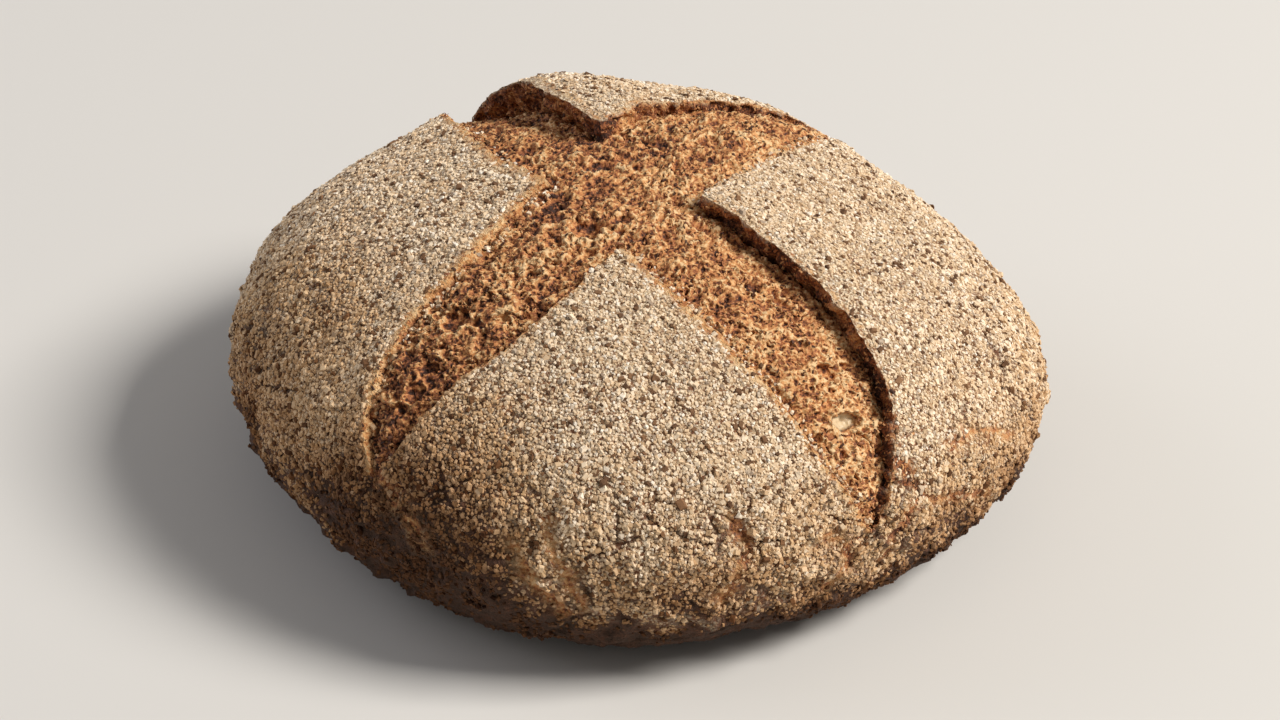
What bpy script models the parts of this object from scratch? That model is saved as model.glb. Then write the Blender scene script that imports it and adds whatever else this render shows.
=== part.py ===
# Round sourdough loaf with a cross score, about 250 mm across.
# One solid: a risen dome on a flat base. Two slashes cross on its crown, and the dough has
# burst through them, so that four quarters of crust stand round a craggy, torn cross.
# Units are metres and degrees, +Z is up, and the origin is the middle of the base on the floor.
import math
from typing import NamedTuple

import bmesh
import bpy
import numpy as np
from mathutils import Vector, noise

MM = 0.001

# Size of the whole loaf
GIRTH_RADIUS = 125 * MM
GIRTH_HEIGHT = 35 * MM
DOME_RISE = 63.5 * MM
BASE_RADIUS = 88 * MM
HEART = np.array([0.0, 0.0, 20 * MM])

# Latitudes: 0 is the crown, 90 the girth, and from the underside's end on the base is flat
CREST = 90.0
LIFT_END = 95.0
UNDERSIDE_END = 126.0
RELIEF_FADE = 12.0
BASE_CENTRE = 180.0

# Unevenness of a loaf shaped by hand: cosine and sine shares for one, two and more waves a turn
GIRTH_WAVES = ((-0.014, 0.012), (0.030, -0.024), (0.011, 0.018), (0.006, -0.006))
SHOULDER = 2.0
SHOULDER_WAVES = ((-0.24, 0.02), (-0.105, -0.045))

# The back quarter rose most: a broad swell, its middle given as azimuth and latitude
SWELL_HEIGHT = 9.5 * MM
SWELL_MIDDLE = (70.0, 47.0)
SWELL_REACH = (55 * MM, 45 * MM)

# Length along the crust from the crown down to the girth
CROWN_TO_GIRTH = 150 * MM


class CrustEdge(NamedTuple):
    """One edge of an arm of the cross, where a quarter of crust ends and the torn crumb starts."""

    points: tuple  # azimuth and latitude of its corners, from the crown outwards
    lift: float  # how far the crust's edge stands up
    width: float  # how far back from the edge the crust lifts
    depth: tuple  # how deep the torn crumb lies at the edge, near the crown and near the tip
    undercut: float  # how far the wall under the edge goes back, for each unit of depth


# The two edges of each of the four arms, anticlockwise seen from above
FRONT_RIGHT_ARM = (
    CrustEdge(
        points=((262, 14), (282, 25), (291, 37), (296, 49), (299, 62), (302, 74), (304, 83)),
        lift=0.4 * MM, width=10 * MM, depth=(1.4 * MM, 0.8 * MM), undercut=-0.3,
    ),
    CrustEdge(
        points=((350, 12), (332, 22), (325, 35), (320, 46), (316, 57), (312, 65), (308, 75), (304, 84)),
        lift=3.6 * MM, width=26 * MM, depth=(9.5 * MM, 2.5 * MM), undercut=0.85,
    ),
)
BACK_RIGHT_ARM = (
    CrustEdge(
        points=((354, 12), (25, 20), (39, 33), (45, 46), (48, 58), (49, 68), (50, 76)),
        lift=0.4 * MM, width=10 * MM, depth=(1.0 * MM, 0.8 * MM), undercut=-0.3,
    ),
    CrustEdge(
        points=((104, 17), (86, 26), (70, 34), (60, 42), (55, 52), (52, 64), (50, 77)),
        lift=1.6 * MM, width=16 * MM, depth=(2.4 * MM, 1.0 * MM), undercut=0.3,
    ),
)
BACK_LEFT_ARM = (
    CrustEdge(
        points=((108, 17), (112, 27), (112, 38), (113, 49), (115, 60), (117, 70), (119, 79)),
        lift=8.2 * MM, width=22 * MM, depth=(8.5 * MM, 8.5 * MM), undercut=0.6,
    ),
    CrustEdge(
        points=((167, 11), (150, 20), (137, 33), (129, 47), (124, 60), (121, 70), (119, 80)),
        lift=0.0 * MM, width=18 * MM, depth=(4.4 * MM, 4.4 * MM), undercut=-0.2,
    ),
)
FRONT_LEFT_ARM = (
    CrustEdge(
        points=((173, 12), (200, 20), (212, 32), (217, 45), (220, 56), (223, 65), (228, 75)),
        lift=0.8 * MM, width=8 * MM, depth=(1.4 * MM, 1.4 * MM), undercut=-0.3,
    ),
    CrustEdge(
        points=((259, 14), (249, 24), (242, 37), (236, 47), (233, 57), (231, 67), (228, 76)),
        lift=1.0 * MM, width=12 * MM, depth=(3.4 * MM, 3.4 * MM), undercut=0.1,
    ),
)
ARMS = (FRONT_RIGHT_ARM, BACK_RIGHT_ARM, BACK_LEFT_ARM, FRONT_LEFT_ARM)

# An edge's lift and undercut run out towards its tip, its depth only in part
EDGE_STEP = 2.0 * MM
TAPER_START = 0.12
TIP_DEPTH = 0.25

# The edges waver: one pattern of noise for each direction on the peeled crust
EDGE_WOBBLE = 0.7 * MM
EDGE_WOBBLE_SIZE = 9.0 * MM
WOBBLE_LAYERS = (0.0, 5.5)

# The torn crumb: it rises to the foot of a deep wall, bulges between the edges, and dives under
# the crust outside the cross
BLEND_DISTANCE = 1.5 * MM
FOOT_RISE = 0.6
FOOT_FROM = 2.5 * MM
FOOT_REACH = 4.5 * MM
CRUMB_BULGE = 1.8 * MM
BULGE_REACH = 12 * MM
DIVE_SLOPE = 0.8
DIVE_DEPTH = 16 * MM

# Its crags, and the burst gas holes in it
CRAG_HEIGHT = 1.5 * MM
CRAG_SIZE = 7.5 * MM
HOLE_DEPTH = 3.4 * MM
HOLE_SPACING = 15 * MM
HOLE_RADIUS = 3.6 * MM
HOLE_SMALLEST = 0.45
HOLE_SIZE_KEY = 7.3

# The crust: soft lumps on top, rougher ones low down, and a coat of coarse meal
LUMP_HEIGHT = 0.9 * MM
LUMP_SIZE = 24 * MM
SKIRT_HEIGHT = 1.5 * MM
SKIRT_SIZE = 13 * MM
SKIRT_TOP = 50 * MM
MEAL_HEIGHT = 0.35 * MM
MEAL_SIZE = 3.4 * MM

# The score is cut by a body that reaches from outside the crust to under the crumb
CUT_OUTSIDE = 16 * MM
CUT_INSIDE = 22 * MM

# Fineness of the meshes
BALL_LEVELS = 7
NEAREST_BATCH = 4000
SKIN_VOXEL = 1.3 * MM
LOAF_TRIANGLES = 11400
CRUST_COLOUR = (0.47, 0.33, 0.19, 1.0)
CRUST_ROUGHNESS = 0.9


def clear_scene():
    for obj in list(bpy.data.objects):
        bpy.data.objects.remove(obj, do_unlink=True)


def waves(azimuth, shares):
    """Sum of cosine and sine waves round the loaf, with azimuth in radians."""
    total = np.zeros_like(azimuth)
    for turns, (cosine, sine) in enumerate(shares, start=1):
        total += cosine * np.cos(turns * azimuth) + sine * np.sin(turns * azimuth)
    return total


def peel(azimuth, latitude):
    """The crust laid flat round the crown, in metres: where a point is when the skin is peeled."""
    reach = CROWN_TO_GIRTH * latitude / CREST
    return np.stack([reach * np.cos(azimuth), reach * np.sin(azimuth)], axis=-1)


def swell(flat):
    """Height of the back quarter's broad swell."""
    middle = peel(math.radians(SWELL_MIDDLE[0]), SWELL_MIDDLE[1])
    away = (flat - middle) / np.array(SWELL_REACH)
    return SWELL_HEIGHT * np.exp(-(away**2).sum(axis=-1))


def dome(azimuth, latitude):
    """Points of the smooth loaf, from the azimuth in radians and the latitude in degrees."""
    girth = GIRTH_RADIUS * (1 + waves(azimuth, GIRTH_WAVES))
    power = 2 / (SHOULDER + waves(azimuth, SHOULDER_WAVES))
    base = BASE_RADIUS * girth / GIRTH_RADIUS
    upper = np.radians(np.clip(latitude, 0, CREST))
    radius = girth * np.sin(upper) ** power
    height = GIRTH_HEIGHT + DOME_RISE * np.clip(np.cos(upper), 0, 1) ** power
    height += swell(peel(azimuth, latitude)) * (latitude < CREST)

    below = latitude > CREST
    turn = np.clip((latitude - CREST) / (UNDERSIDE_END - CREST), 0, 1) * math.pi / 2
    radius = np.where(below, base + (girth - base) * np.cos(turn), radius)
    height = np.where(below, GIRTH_HEIGHT * (1 - np.sin(turn)), height)

    inward = np.clip((BASE_CENTRE - latitude) / (BASE_CENTRE - UNDERSIDE_END), 0, 1)
    radius = np.where(latitude > UNDERSIDE_END, base * inward, radius)
    return np.stack([radius * np.cos(azimuth), radius * np.sin(azimuth), height], axis=-1)


def outwards(points):
    """Unit directions away from the heart of the loaf."""
    away = points - HEART
    return away / np.linalg.norm(away, axis=-1, keepdims=True)


def noise_at(points, size, octaves=3):
    """Fractal noise of about -1 to 1, with lumps of the given size."""
    return np.array([noise.fractal(Vector(p) / size, 1.0, 2.0, octaves) for p in points])


def noise_of_flat(flat, size, layer):
    """Noise of about -1 to 1 over the peeled crust. Each layer is a different pattern."""
    return np.array([noise.noise(Vector((x / size, y / size, layer))) for x, y in flat])


def smooth_line(corners):
    """A Catmull-Rom curve through flat points, sampled about every edge step."""
    padded = np.vstack([2 * corners[0] - corners[1], corners, 2 * corners[-1] - corners[-2]])
    line = []
    for before, start, end, after in zip(padded, padded[1:], padded[2:], padded[3:]):
        count = max(2, int(np.linalg.norm(end - start) / EDGE_STEP))
        slope = end - before
        bend = 2 * before - 5 * start + 4 * end - after
        twist = 3 * start - before - 3 * end + after
        for share in np.arange(count) / count:
            line.append(start + (slope * share + bend * share**2 + twist * share**3) / 2)
    line.append(corners[-1])
    return np.array(line)


def trace_edge(edge):
    """The edge's flat line, with what the crust does at each of its points."""
    line = smooth_line(np.array([peel(math.radians(azimuth), latitude) for azimuth, latitude in edge.points]))
    along = TAPER_START + (1 - TAPER_START) * np.linspace(0, 1, len(line))
    taper = np.sqrt(np.clip(np.sin(math.pi * along), 0, 1))
    depth = np.linspace(*edge.depth, len(line))
    return {
        "line": line,
        "lift": edge.lift * taper,
        "width": edge.width,
        "depth": depth * (TIP_DEPTH + (1 - TIP_DEPTH) * taper),
        "undercut": edge.undercut * taper * depth / edge.depth[0],
    }


def outline_of(arms):
    """The cross as one closed line, anticlockwise, with the undercut at each of its points."""
    line, undercut = [], []
    for out_edge, back_edge in arms:
        line += [out_edge["line"], back_edge["line"][::-1][1:]]
        undercut += [out_edge["undercut"], back_edge["undercut"][::-1][1:]]
    line, undercut = np.vstack(line), np.concatenate(undercut)
    wobble = [noise_of_flat(line, EDGE_WOBBLE_SIZE, layer) for layer in WOBBLE_LAYERS]
    return line + EDGE_WOBBLE * np.stack(wobble, axis=1), undercut


def nearest(flat, line):
    """Distance from each flat point to the line, and the index of the nearest of its points."""
    index = np.empty(len(flat), int)
    distance = np.empty(len(flat))
    for start in range(0, len(flat), NEAREST_BATCH):
        batch = slice(start, start + NEAREST_BATCH)
        square = ((flat[batch, None, :] - line[None, :, :]) ** 2).sum(axis=2)
        index[batch] = square.argmin(axis=1)
        distance[batch] = np.sqrt(square.min(axis=1))
    return distance, index


def inside(flat, outline):
    """True for the flat points that lie in the closed outline."""
    x, y = flat[:, 0], flat[:, 1]
    found = np.zeros(len(flat), bool)
    for (x0, y0), (x1, y1) in zip(outline, np.roll(outline, -1, axis=0)):
        crosses = (y0 > y) != (y1 > y)
        with np.errstate(divide="ignore", invalid="ignore"):
            found ^= crosses & (x < (x1 - x0) * (y - y0) / (y1 - y0) + x0)
    return found


def crust_lift(flat, arms):
    """How far the lifted edges raise the crust. Inside the cross this is cut away."""
    lift = np.zeros(len(flat))
    for edge in (edge for arm in arms for edge in arm):
        distance, index = nearest(flat, edge["line"])
        lift = np.maximum(lift, edge["lift"][index] * np.exp(-((distance / edge["width"]) ** 2)))
    return lift


def crumb_depth(flat, arms, outline):
    """Depth of the torn crumb under the smooth dome, and whether each point is in the cross."""
    weights = np.zeros(len(flat))
    depths = np.zeros(len(flat))
    for edge in (edge for arm in arms for edge in arm):
        distance, index = nearest(flat, edge["line"])
        weight = 1 / (distance + BLEND_DISTANCE) ** 2
        weights += weight
        depth = edge["depth"][index]
        foot = FOOT_RISE * np.clip(depth - FOOT_FROM, 0, None) * np.exp(-((distance / FOOT_REACH) ** 2))
        depths += weight * (depth - foot)
    to_outline, _ = nearest(flat, outline)
    within = inside(flat, outline)
    bulge = CRUMB_BULGE * np.clip(to_outline / BULGE_REACH, 0, 1)
    dive = np.minimum(DIVE_SLOPE * to_outline, DIVE_DEPTH)
    return depths / weights + np.where(within, -bulge, dive), within


def holes_at(points):
    """Depth of the burst gas holes, as shares from 0 to 1, on a jittered lattice."""
    share = np.zeros(len(points))
    for k, point in enumerate(points):
        distances, centres = noise.voronoi(Vector(point) / HOLE_SPACING)
        size = HOLE_SMALLEST + (1 - HOLE_SMALLEST) * noise.cell(centres[0] * HOLE_SIZE_KEY)
        radius = HOLE_RADIUS * size / HOLE_SPACING
        share[k] = size * max(0.0, 1 - (distances[0] / radius) ** 2)
    return share


def add_ball(name, collection):
    """An icosphere of unit radius, as the start of a dome."""
    mesh = bpy.data.meshes.new(name)
    bm = bmesh.new()
    bmesh.ops.create_icosphere(bm, subdivisions=BALL_LEVELS, radius=1.0)
    bm.to_mesh(mesh)
    bm.free()
    obj = bpy.data.objects.new(name, mesh)
    collection.objects.link(obj)
    return obj


def ball_angles(mesh):
    """Azimuth in radians and latitude in degrees of each vertex of the unit ball."""
    points = np.array([vertex.co for vertex in mesh.vertices])
    points /= np.linalg.norm(points, axis=1, keepdims=True)
    return np.arctan2(points[:, 1], points[:, 0]), np.degrees(np.arccos(np.clip(points[:, 2], -1, 1)))


def place(mesh, points):
    mesh.vertices.foreach_set("co", points.astype(np.float32).ravel())
    mesh.update()


def shape_crust(obj, arms):
    """The whole loaf's skin, with lumps, lifted edges and the coat of meal, and no score yet."""
    azimuth, latitude = ball_angles(obj.data)
    points = dome(azimuth, latitude)
    raised = crust_lift(peel(azimuth, latitude), arms) * (latitude < LIFT_END)
    low = np.clip((SKIRT_TOP - points[:, 2]) / SKIRT_TOP, 0, 1)
    relief = LUMP_HEIGHT * noise_at(points, LUMP_SIZE)
    relief += SKIRT_HEIGHT * low * noise_at(points, SKIRT_SIZE, 4)
    relief += MEAL_HEIGHT * noise_at(points, MEAL_SIZE, 1)
    relief *= np.clip((UNDERSIDE_END - latitude) / RELIEF_FADE, 0, 1)
    moved = points + outwards(points) * (raised + relief)[:, None]
    moved[:, 2] = np.where(latitude >= UNDERSIDE_END, 0.0, np.maximum(moved[:, 2], 0.0))
    place(obj.data, moved)


def shape_crumb(obj, arms, outline):
    """The body that fills the loaf under its crust and shows in the cross as torn crumb."""
    azimuth, latitude = ball_angles(obj.data)
    points = dome(azimuth, latitude)
    depth, within = crumb_depth(peel(azimuth, latitude), arms, outline)
    seen = within & (latitude < CREST)
    crags = np.zeros(len(points))
    crags[seen] = CRAG_HEIGHT * noise_at(points[seen], CRAG_SIZE)
    crags[seen] -= HOLE_DEPTH * holes_at(points[seen])
    depth = np.where(latitude < CREST, depth, DIVE_DEPTH) - crags
    place(obj.data, points - outwards(points) * depth[:, None])


def on_dome(flat):
    """Points of the smooth loaf from points of the peeled crust."""
    latitude = np.linalg.norm(flat, axis=1) * CREST / CROWN_TO_GIRTH
    return dome(np.arctan2(flat[:, 1], flat[:, 0]), latitude)


def wall_ends(outline, undercut):
    """Upper and lower end of the cutter's wall at each point of the cross's outline."""
    along = np.roll(outline, -1, axis=0) - np.roll(outline, 1, axis=0)
    along /= np.linalg.norm(along, axis=1, keepdims=True)
    sideways = np.stack([along[:, 1], -along[:, 0]], axis=1)
    surface = on_dome(outline)
    across = on_dome(outline + sideways * MM) - surface
    across /= np.linalg.norm(across, axis=1, keepdims=True)
    lean = across * undercut[:, None] - outwards(surface)
    return surface - lean * CUT_OUTSIDE, surface + lean * CUT_INSIDE


def make_cutter(outline, undercut, collection):
    """A body with the cross's outline, whose walls run towards the heart of the loaf."""
    upper_ends, lower_ends = wall_ends(outline, undercut)
    bm = bmesh.new()
    number = bm.verts.layers.int.new("number")
    ring = [bm.verts.new((x, y, 0)) for x, y in outline]
    for k, vertex in enumerate(ring):
        vertex[number] = k
        bm.edges.new((vertex, ring[k - 1]))
    bmesh.ops.triangle_fill(bm, edges=bm.edges[:], use_beauty=True, normal=(0, 0, 1))
    extruded = bmesh.ops.extrude_face_region(bm, geom=bm.faces[:], use_keep_orig=True)
    upper = {v for v in extruded["geom"] if isinstance(v, bmesh.types.BMVert)}
    for vertex in bm.verts:
        ends = upper_ends if vertex in upper else lower_ends
        vertex.co = ends[vertex[number]]
    bmesh.ops.recalc_face_normals(bm, faces=bm.faces[:])

    mesh = bpy.data.meshes.new("score_cutter")
    bm.to_mesh(mesh)
    bm.free()
    cutter = bpy.data.objects.new("score_cutter", mesh)
    collection.objects.link(cutter)
    return cutter


def add_boolean(obj, other, operation):
    boolean = obj.modifiers.new(f"{operation.lower()}_{other.name}", "BOOLEAN")
    boolean.operation = operation
    boolean.object = other
    boolean.solver = "MANIFOLD"


def apply_modifiers(obj):
    """Replaces the object's mesh by the one its modifiers make."""
    graph = bpy.context.evaluated_depsgraph_get()
    made = bpy.data.meshes.new_from_object(obj.evaluated_get(graph))
    obj.modifiers.clear()
    obj.data = made


def shells_of(bm):
    """The mesh's separate shells, each as a set of vertices."""
    left = set(bm.verts)
    shells = []
    while left:
        shell = {left.pop()}
        front = shell
        while front:
            front = {edge.other_vert(vertex) for vertex in front for edge in vertex.link_edges} - shell
            shell = shell | front
        left -= shell
        shells.append(shell)
    return shells


def drop_scraps(obj):
    """Keeps the largest shell alone: a hollow that the union sealed is filled, a scrap is dropped."""
    bm = bmesh.new()
    bm.from_mesh(obj.data)
    shells = sorted(shells_of(bm), key=len)
    scraps = [vertex for shell in shells[:-1] for vertex in shell]
    bmesh.ops.delete(bm, geom=scraps, context="VERTS")
    bm.to_mesh(obj.data)
    bm.free()


def even_out(obj):
    """Gives the skin faces of one size, then thins them out to the wanted number of triangles."""
    even_faces = obj.modifiers.new("even_faces", "REMESH")
    even_faces.mode = "VOXEL"
    even_faces.voxel_size = SKIN_VOXEL
    apply_modifiers(obj)
    drop_scraps(obj)
    triangles = sum(len(face.vertices) - 2 for face in obj.data.polygons)
    fewer_faces = obj.modifiers.new("fewer_faces", "DECIMATE")
    fewer_faces.ratio = LOAF_TRIANGLES / triangles
    apply_modifiers(obj)


def bread_material():
    material = bpy.data.materials.new("baked_crust")
    material.use_nodes = True
    shader = material.node_tree.nodes["Principled BSDF"]
    shader.inputs["Base Color"].default_value = CRUST_COLOUR
    shader.inputs["Roughness"].default_value = CRUST_ROUGHNESS
    shader.inputs["Metallic"].default_value = 0.0
    return material


def main():
    clear_scene()
    loaf_parts = bpy.data.collections.new("sourdough_loaf")
    helpers = bpy.data.collections.new("helpers")
    for collection in (loaf_parts, helpers):
        bpy.context.scene.collection.children.link(collection)

    arms = [[trace_edge(edge) for edge in arm] for arm in ARMS]
    outline, undercut = outline_of(arms)

    loaf = add_ball("loaf", loaf_parts)
    shape_crust(loaf, arms)
    crumb = add_ball("crumb_body", helpers)
    shape_crumb(crumb, arms, outline)
    cutter = make_cutter(outline, undercut, helpers)

    add_boolean(loaf, cutter, "DIFFERENCE")
    add_boolean(loaf, crumb, "UNION")
    apply_modifiers(loaf)
    for helper in (crumb, cutter):
        bpy.data.objects.remove(helper, do_unlink=True)
    even_out(loaf)
    loaf.data.materials.clear()
    loaf.data.materials.append(bread_material())


main()
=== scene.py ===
# Round sourdough loaf with a burst cross: its crust, its torn crumb, the loose flakes on it and
# the coat of coarse meal, dressed round the solid of the loaf.
# Units are metres and degrees. The values of the form follow those of the solid.
import math
from contextlib import contextmanager
from typing import NamedTuple

import bpy
import numpy as np
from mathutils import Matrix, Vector, noise
from mathutils.kdtree import KDTree


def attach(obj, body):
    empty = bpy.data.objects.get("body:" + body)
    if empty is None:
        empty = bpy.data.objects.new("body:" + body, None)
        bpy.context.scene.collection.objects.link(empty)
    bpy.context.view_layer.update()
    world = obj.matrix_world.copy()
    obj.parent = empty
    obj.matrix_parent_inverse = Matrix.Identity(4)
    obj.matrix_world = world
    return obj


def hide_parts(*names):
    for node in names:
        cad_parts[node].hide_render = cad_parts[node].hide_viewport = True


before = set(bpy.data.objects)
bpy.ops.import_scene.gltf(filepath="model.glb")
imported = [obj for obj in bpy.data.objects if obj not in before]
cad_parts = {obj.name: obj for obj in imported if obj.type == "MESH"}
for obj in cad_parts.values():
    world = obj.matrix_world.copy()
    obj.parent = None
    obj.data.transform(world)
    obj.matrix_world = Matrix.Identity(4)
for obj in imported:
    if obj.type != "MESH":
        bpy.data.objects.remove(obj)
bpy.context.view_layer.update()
bpy.ops.object.select_all(action="DESELECT")

MM = 0.001

# Size of the whole loaf
GIRTH_RADIUS = 125 * MM
GIRTH_HEIGHT = 35 * MM
DOME_RISE = 63.5 * MM
BASE_RADIUS = 88 * MM
HEART = np.array([0.0, 0.0, 20 * MM])

# Latitudes: 0 is the crown, 90 the girth, and from the underside's end on the base is flat
CREST = 90.0
LIFT_END = 95.0
UNDERSIDE_END = 126.0
RELIEF_FADE = 12.0
BASE_CENTRE = 180.0
HALVINGS = 20

# Unevenness of a loaf shaped by hand: cosine and sine shares for one, two and more waves a turn
GIRTH_WAVES = ((-0.014, 0.012), (0.030, -0.024), (0.011, 0.018), (0.006, -0.006))
SHOULDER = 2.0
SHOULDER_WAVES = ((-0.24, 0.02), (-0.105, -0.045))

# The back quarter's broad swell
SWELL_HEIGHT = 9.5 * MM
SWELL_MIDDLE = (70.0, 47.0)
SWELL_REACH = (55 * MM, 45 * MM)

# Length along the crust from the crown down to the girth
CROWN_TO_GIRTH = 150 * MM


class CrustEdge(NamedTuple):
    """One edge of an arm of the cross, where a quarter of crust ends and the torn crumb starts."""

    points: tuple  # azimuth and latitude of its corners, from the crown outwards
    lift: float  # how far the crust's edge stands up
    width: float  # how far back from the edge the crust lifts
    depth: tuple  # how deep the torn crumb lies at the edge, near the crown and near the tip
    undercut: float  # how far the wall under the edge goes back, for each unit of depth
    rim: float  # how wide a bare, amber rim the crust has there


FRONT_RIGHT_ARM = (
    CrustEdge(
        points=((262, 14), (282, 25), (291, 37), (296, 49), (299, 62), (302, 74), (304, 83)),
        lift=0.4 * MM, width=10 * MM, depth=(1.4 * MM, 0.8 * MM), undercut=-0.3, rim=2.2 * MM,
    ),
    CrustEdge(
        points=((350, 12), (332, 22), (325, 35), (320, 46), (316, 57), (312, 65), (308, 75), (304, 84)),
        lift=3.6 * MM, width=26 * MM, depth=(9.5 * MM, 1.0 * MM), undercut=0.65, rim=0.5 * MM,
    ),
)
BACK_RIGHT_ARM = (
    CrustEdge(
        points=((354, 12), (25, 20), (39, 33), (45, 46), (48, 58), (49, 68), (50, 76)),
        lift=0.4 * MM, width=10 * MM, depth=(1.0 * MM, 0.8 * MM), undercut=-0.3, rim=0.8 * MM,
    ),
    CrustEdge(
        points=((104, 17), (86, 26), (70, 34), (60, 42), (55, 52), (52, 64), (50, 77)),
        lift=1.6 * MM, width=16 * MM, depth=(2.4 * MM, 1.0 * MM), undercut=0.3, rim=0.6 * MM,
    ),
)
BACK_LEFT_ARM = (
    CrustEdge(
        points=((108, 17), (112, 27), (112, 38), (113, 49), (115, 60), (117, 70), (119, 79)),
        lift=8.2 * MM, width=22 * MM, depth=(8.5 * MM, 8.5 * MM), undercut=0.6, rim=0.6 * MM,
    ),
    CrustEdge(
        points=((167, 11), (150, 20), (137, 33), (129, 47), (124, 60), (121, 70), (119, 80)),
        lift=0.0 * MM, width=18 * MM, depth=(4.4 * MM, 4.4 * MM), undercut=-0.2, rim=2.6 * MM,
    ),
)
FRONT_LEFT_ARM = (
    CrustEdge(
        points=((173, 12), (200, 20), (212, 32), (217, 45), (220, 56), (223, 65), (228, 75)),
        lift=0.8 * MM, width=8 * MM, depth=(1.4 * MM, 1.4 * MM), undercut=-0.3, rim=2.6 * MM,
    ),
    CrustEdge(
        points=((259, 14), (249, 24), (242, 37), (236, 47), (233, 57), (231, 67), (228, 76)),
        lift=1.0 * MM, width=12 * MM, depth=(3.4 * MM, 3.4 * MM), undercut=0.1, rim=0.6 * MM,
    ),
)
ARMS = (FRONT_RIGHT_ARM, BACK_RIGHT_ARM, BACK_LEFT_ARM, FRONT_LEFT_ARM)

EDGE_STEP = 0.8 * MM
TAPER_START = 0.12
TIP_DEPTH = 0.25
EDGE_WOBBLE = 0.7 * MM
EDGE_WOBBLE_SIZE = 9.0 * MM
WOBBLE_LAYERS = (0.0, 5.5)
FRAY = 0.8 * MM
FRAY_SIZE = 2.6 * MM
FRAY_LAYERS = (11.0, 17.5)

# The crumb's lie between the edges
BLEND_DISTANCE = 1.5 * MM
CRUMB_BULGE = 1.8 * MM
BULGE_REACH = 12 * MM
FOOT_RISE = 0.6
FOOT_FROM = 2.5 * MM
FOOT_REACH = 4.5 * MM
DIVE_SLOPE = 0.8
DIVE_DEPTH = 16 * MM
CRAG_HEIGHT = 1.5 * MM
CRAG_SIZE = 7.5 * MM

# The crust's lie: soft lumps, clumps and pebbles that are rougher low down, and cracks
LUMP_HEIGHT = 0.9 * MM
LUMP_SIZE = 24 * MM
SKIRT_HEIGHT = 1.5 * MM
SKIRT_SIZE = 13 * MM
SKIRT_TOP = 50 * MM
ROUGH_FROM = 78 * MM
ROUGH_BELOW = 35 * MM
CLUMP_HEIGHT = 2.6 * MM
CLUMP_SIZE = 8.0 * MM
CLUMPS_ON_TOP = 0.15
PEBBLE_HEIGHT = 0.6 * MM
PEBBLE_SIZE = 2.2 * MM
PEBBLES_ON_TOP = 0.5
CRACK_DEPTH = 1.0 * MM
CRACK_SPACING = 17 * MM
CRACK_WIDTH = 0.07
CRACK_BEND = 5.0 * MM
CRACK_OPENING = (-0.05, 0.2)
CRACKS_END = 1.4 * SKIRT_TOP
CRACKS_FULL = 1.1 * SKIRT_TOP
SHOWN_CRACK_WIDTH = 0.55 * MM
SHOWN_CRACKS = (
    ((262, 55), (264, 60), (267, 65), (271, 70), (277, 75), (281, 78)),
    ((280, 70), (281, 74), (284, 79)),
    ((258, 74), (261, 82), (264, 92)),
    ((185, 82), (187, 78), (190, 66), (191, 56)),
    ((197, 77), (208, 69)),
    ((248, 83), (255, 86), (262, 86)),
    ((306, 80), (309, 87), (316, 92)),
)

# Scars low down, where the coat has torn off and golden crust shows
SCAR_WIDTH = 2.6 * MM
SCAR_DEPTH = 0.8 * MM
SCAR_RAGGEDNESS = 1.2
SCAR_RAGGED_SIZE = 4.0 * MM
SCARS = (
    ((257, 72), (258, 79), (260, 84), (261, 89), (262, 93)),
    ((284, 72), (285, 78), (284, 85), (281, 92)),
    ((297, 80), (300, 86), (300, 92), (297, 96)),
    ((312, 70), (313, 78), (310, 84), (307, 92)),
    ((322, 71), (331, 74), (336, 82)),
    ((253, 80), (256, 88), (260, 94)),
    ((229, 73), (233, 78), (238, 84)),
    ((314, 80), (320, 86), (328, 92)),
)

# The cutter that opens the cross: depths of its levels, and how ragged the torn walls are
CUT_OUTSIDE = 16 * MM
CUT_INSIDE = 22 * MM
WALL_TOP = 2.5 * MM
WALL_LEVELS = 36
WALL_ROUGHNESS = ((2.2 * MM, 6.0 * MM), (1.2 * MM, 2.4 * MM))
WALL_CLEAN_TOP = 1.5 * MM
WALL_REACH = 18 * MM
WALL_MARGIN = 0.4 * MM
RIM_RAGGEDNESS = 0.7
RIM_RAGGED_SIZE = 5 * MM
RIM_INNER = 0.3
RIM_OUTER = 1.4
SMOOTH_UP_TO = 60.0

# Fineness of the meshes
BALL_LEVELS = 8
CRUST_TRIANGLES = 192000
CRUMB_PITCH = 0.42 * MM
CRUMB_SPAN = 288 * MM
CRUMB_MARGIN = 2.5 * MM
CRUMB_UNDERCUT_MARGIN = 15 * MM
CRUMB_THICKNESS = 3.0 * MM

# Fine relief of the torn crumb
WARP = 4.5 * MM
WARP_SIZE = 8.0 * MM
PLATE_HEIGHT = 1.0 * MM
PLATE_SIZE = 5.5 * MM
PLATE_STEPS = 2.5
PLATE_DROP = (0.7, 1.0)
STRATUM = 5.0 * MM
WEB_HEIGHT = 0.75 * MM
WEB_SIZE = 2.0 * MM
WEB_LEVEL = 0.3
CRISP_HEIGHT = 0.3 * MM
CRISP_SIZE = 0.9 * MM
PIT_DEPTH = 1.2 * MM
PIT_SIZE = 2.1 * MM
PIT_EDGE = (0.2, 0.45)
PIT_PATCHES = 11 * MM
PIT_PATCH_EDGE = (-0.25, 0.25)
SHIFT = 0.6 * MM
SHIFT_SIZE = 1.8 * MM
SHIFT_FULL = 2.0 * MM

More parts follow.
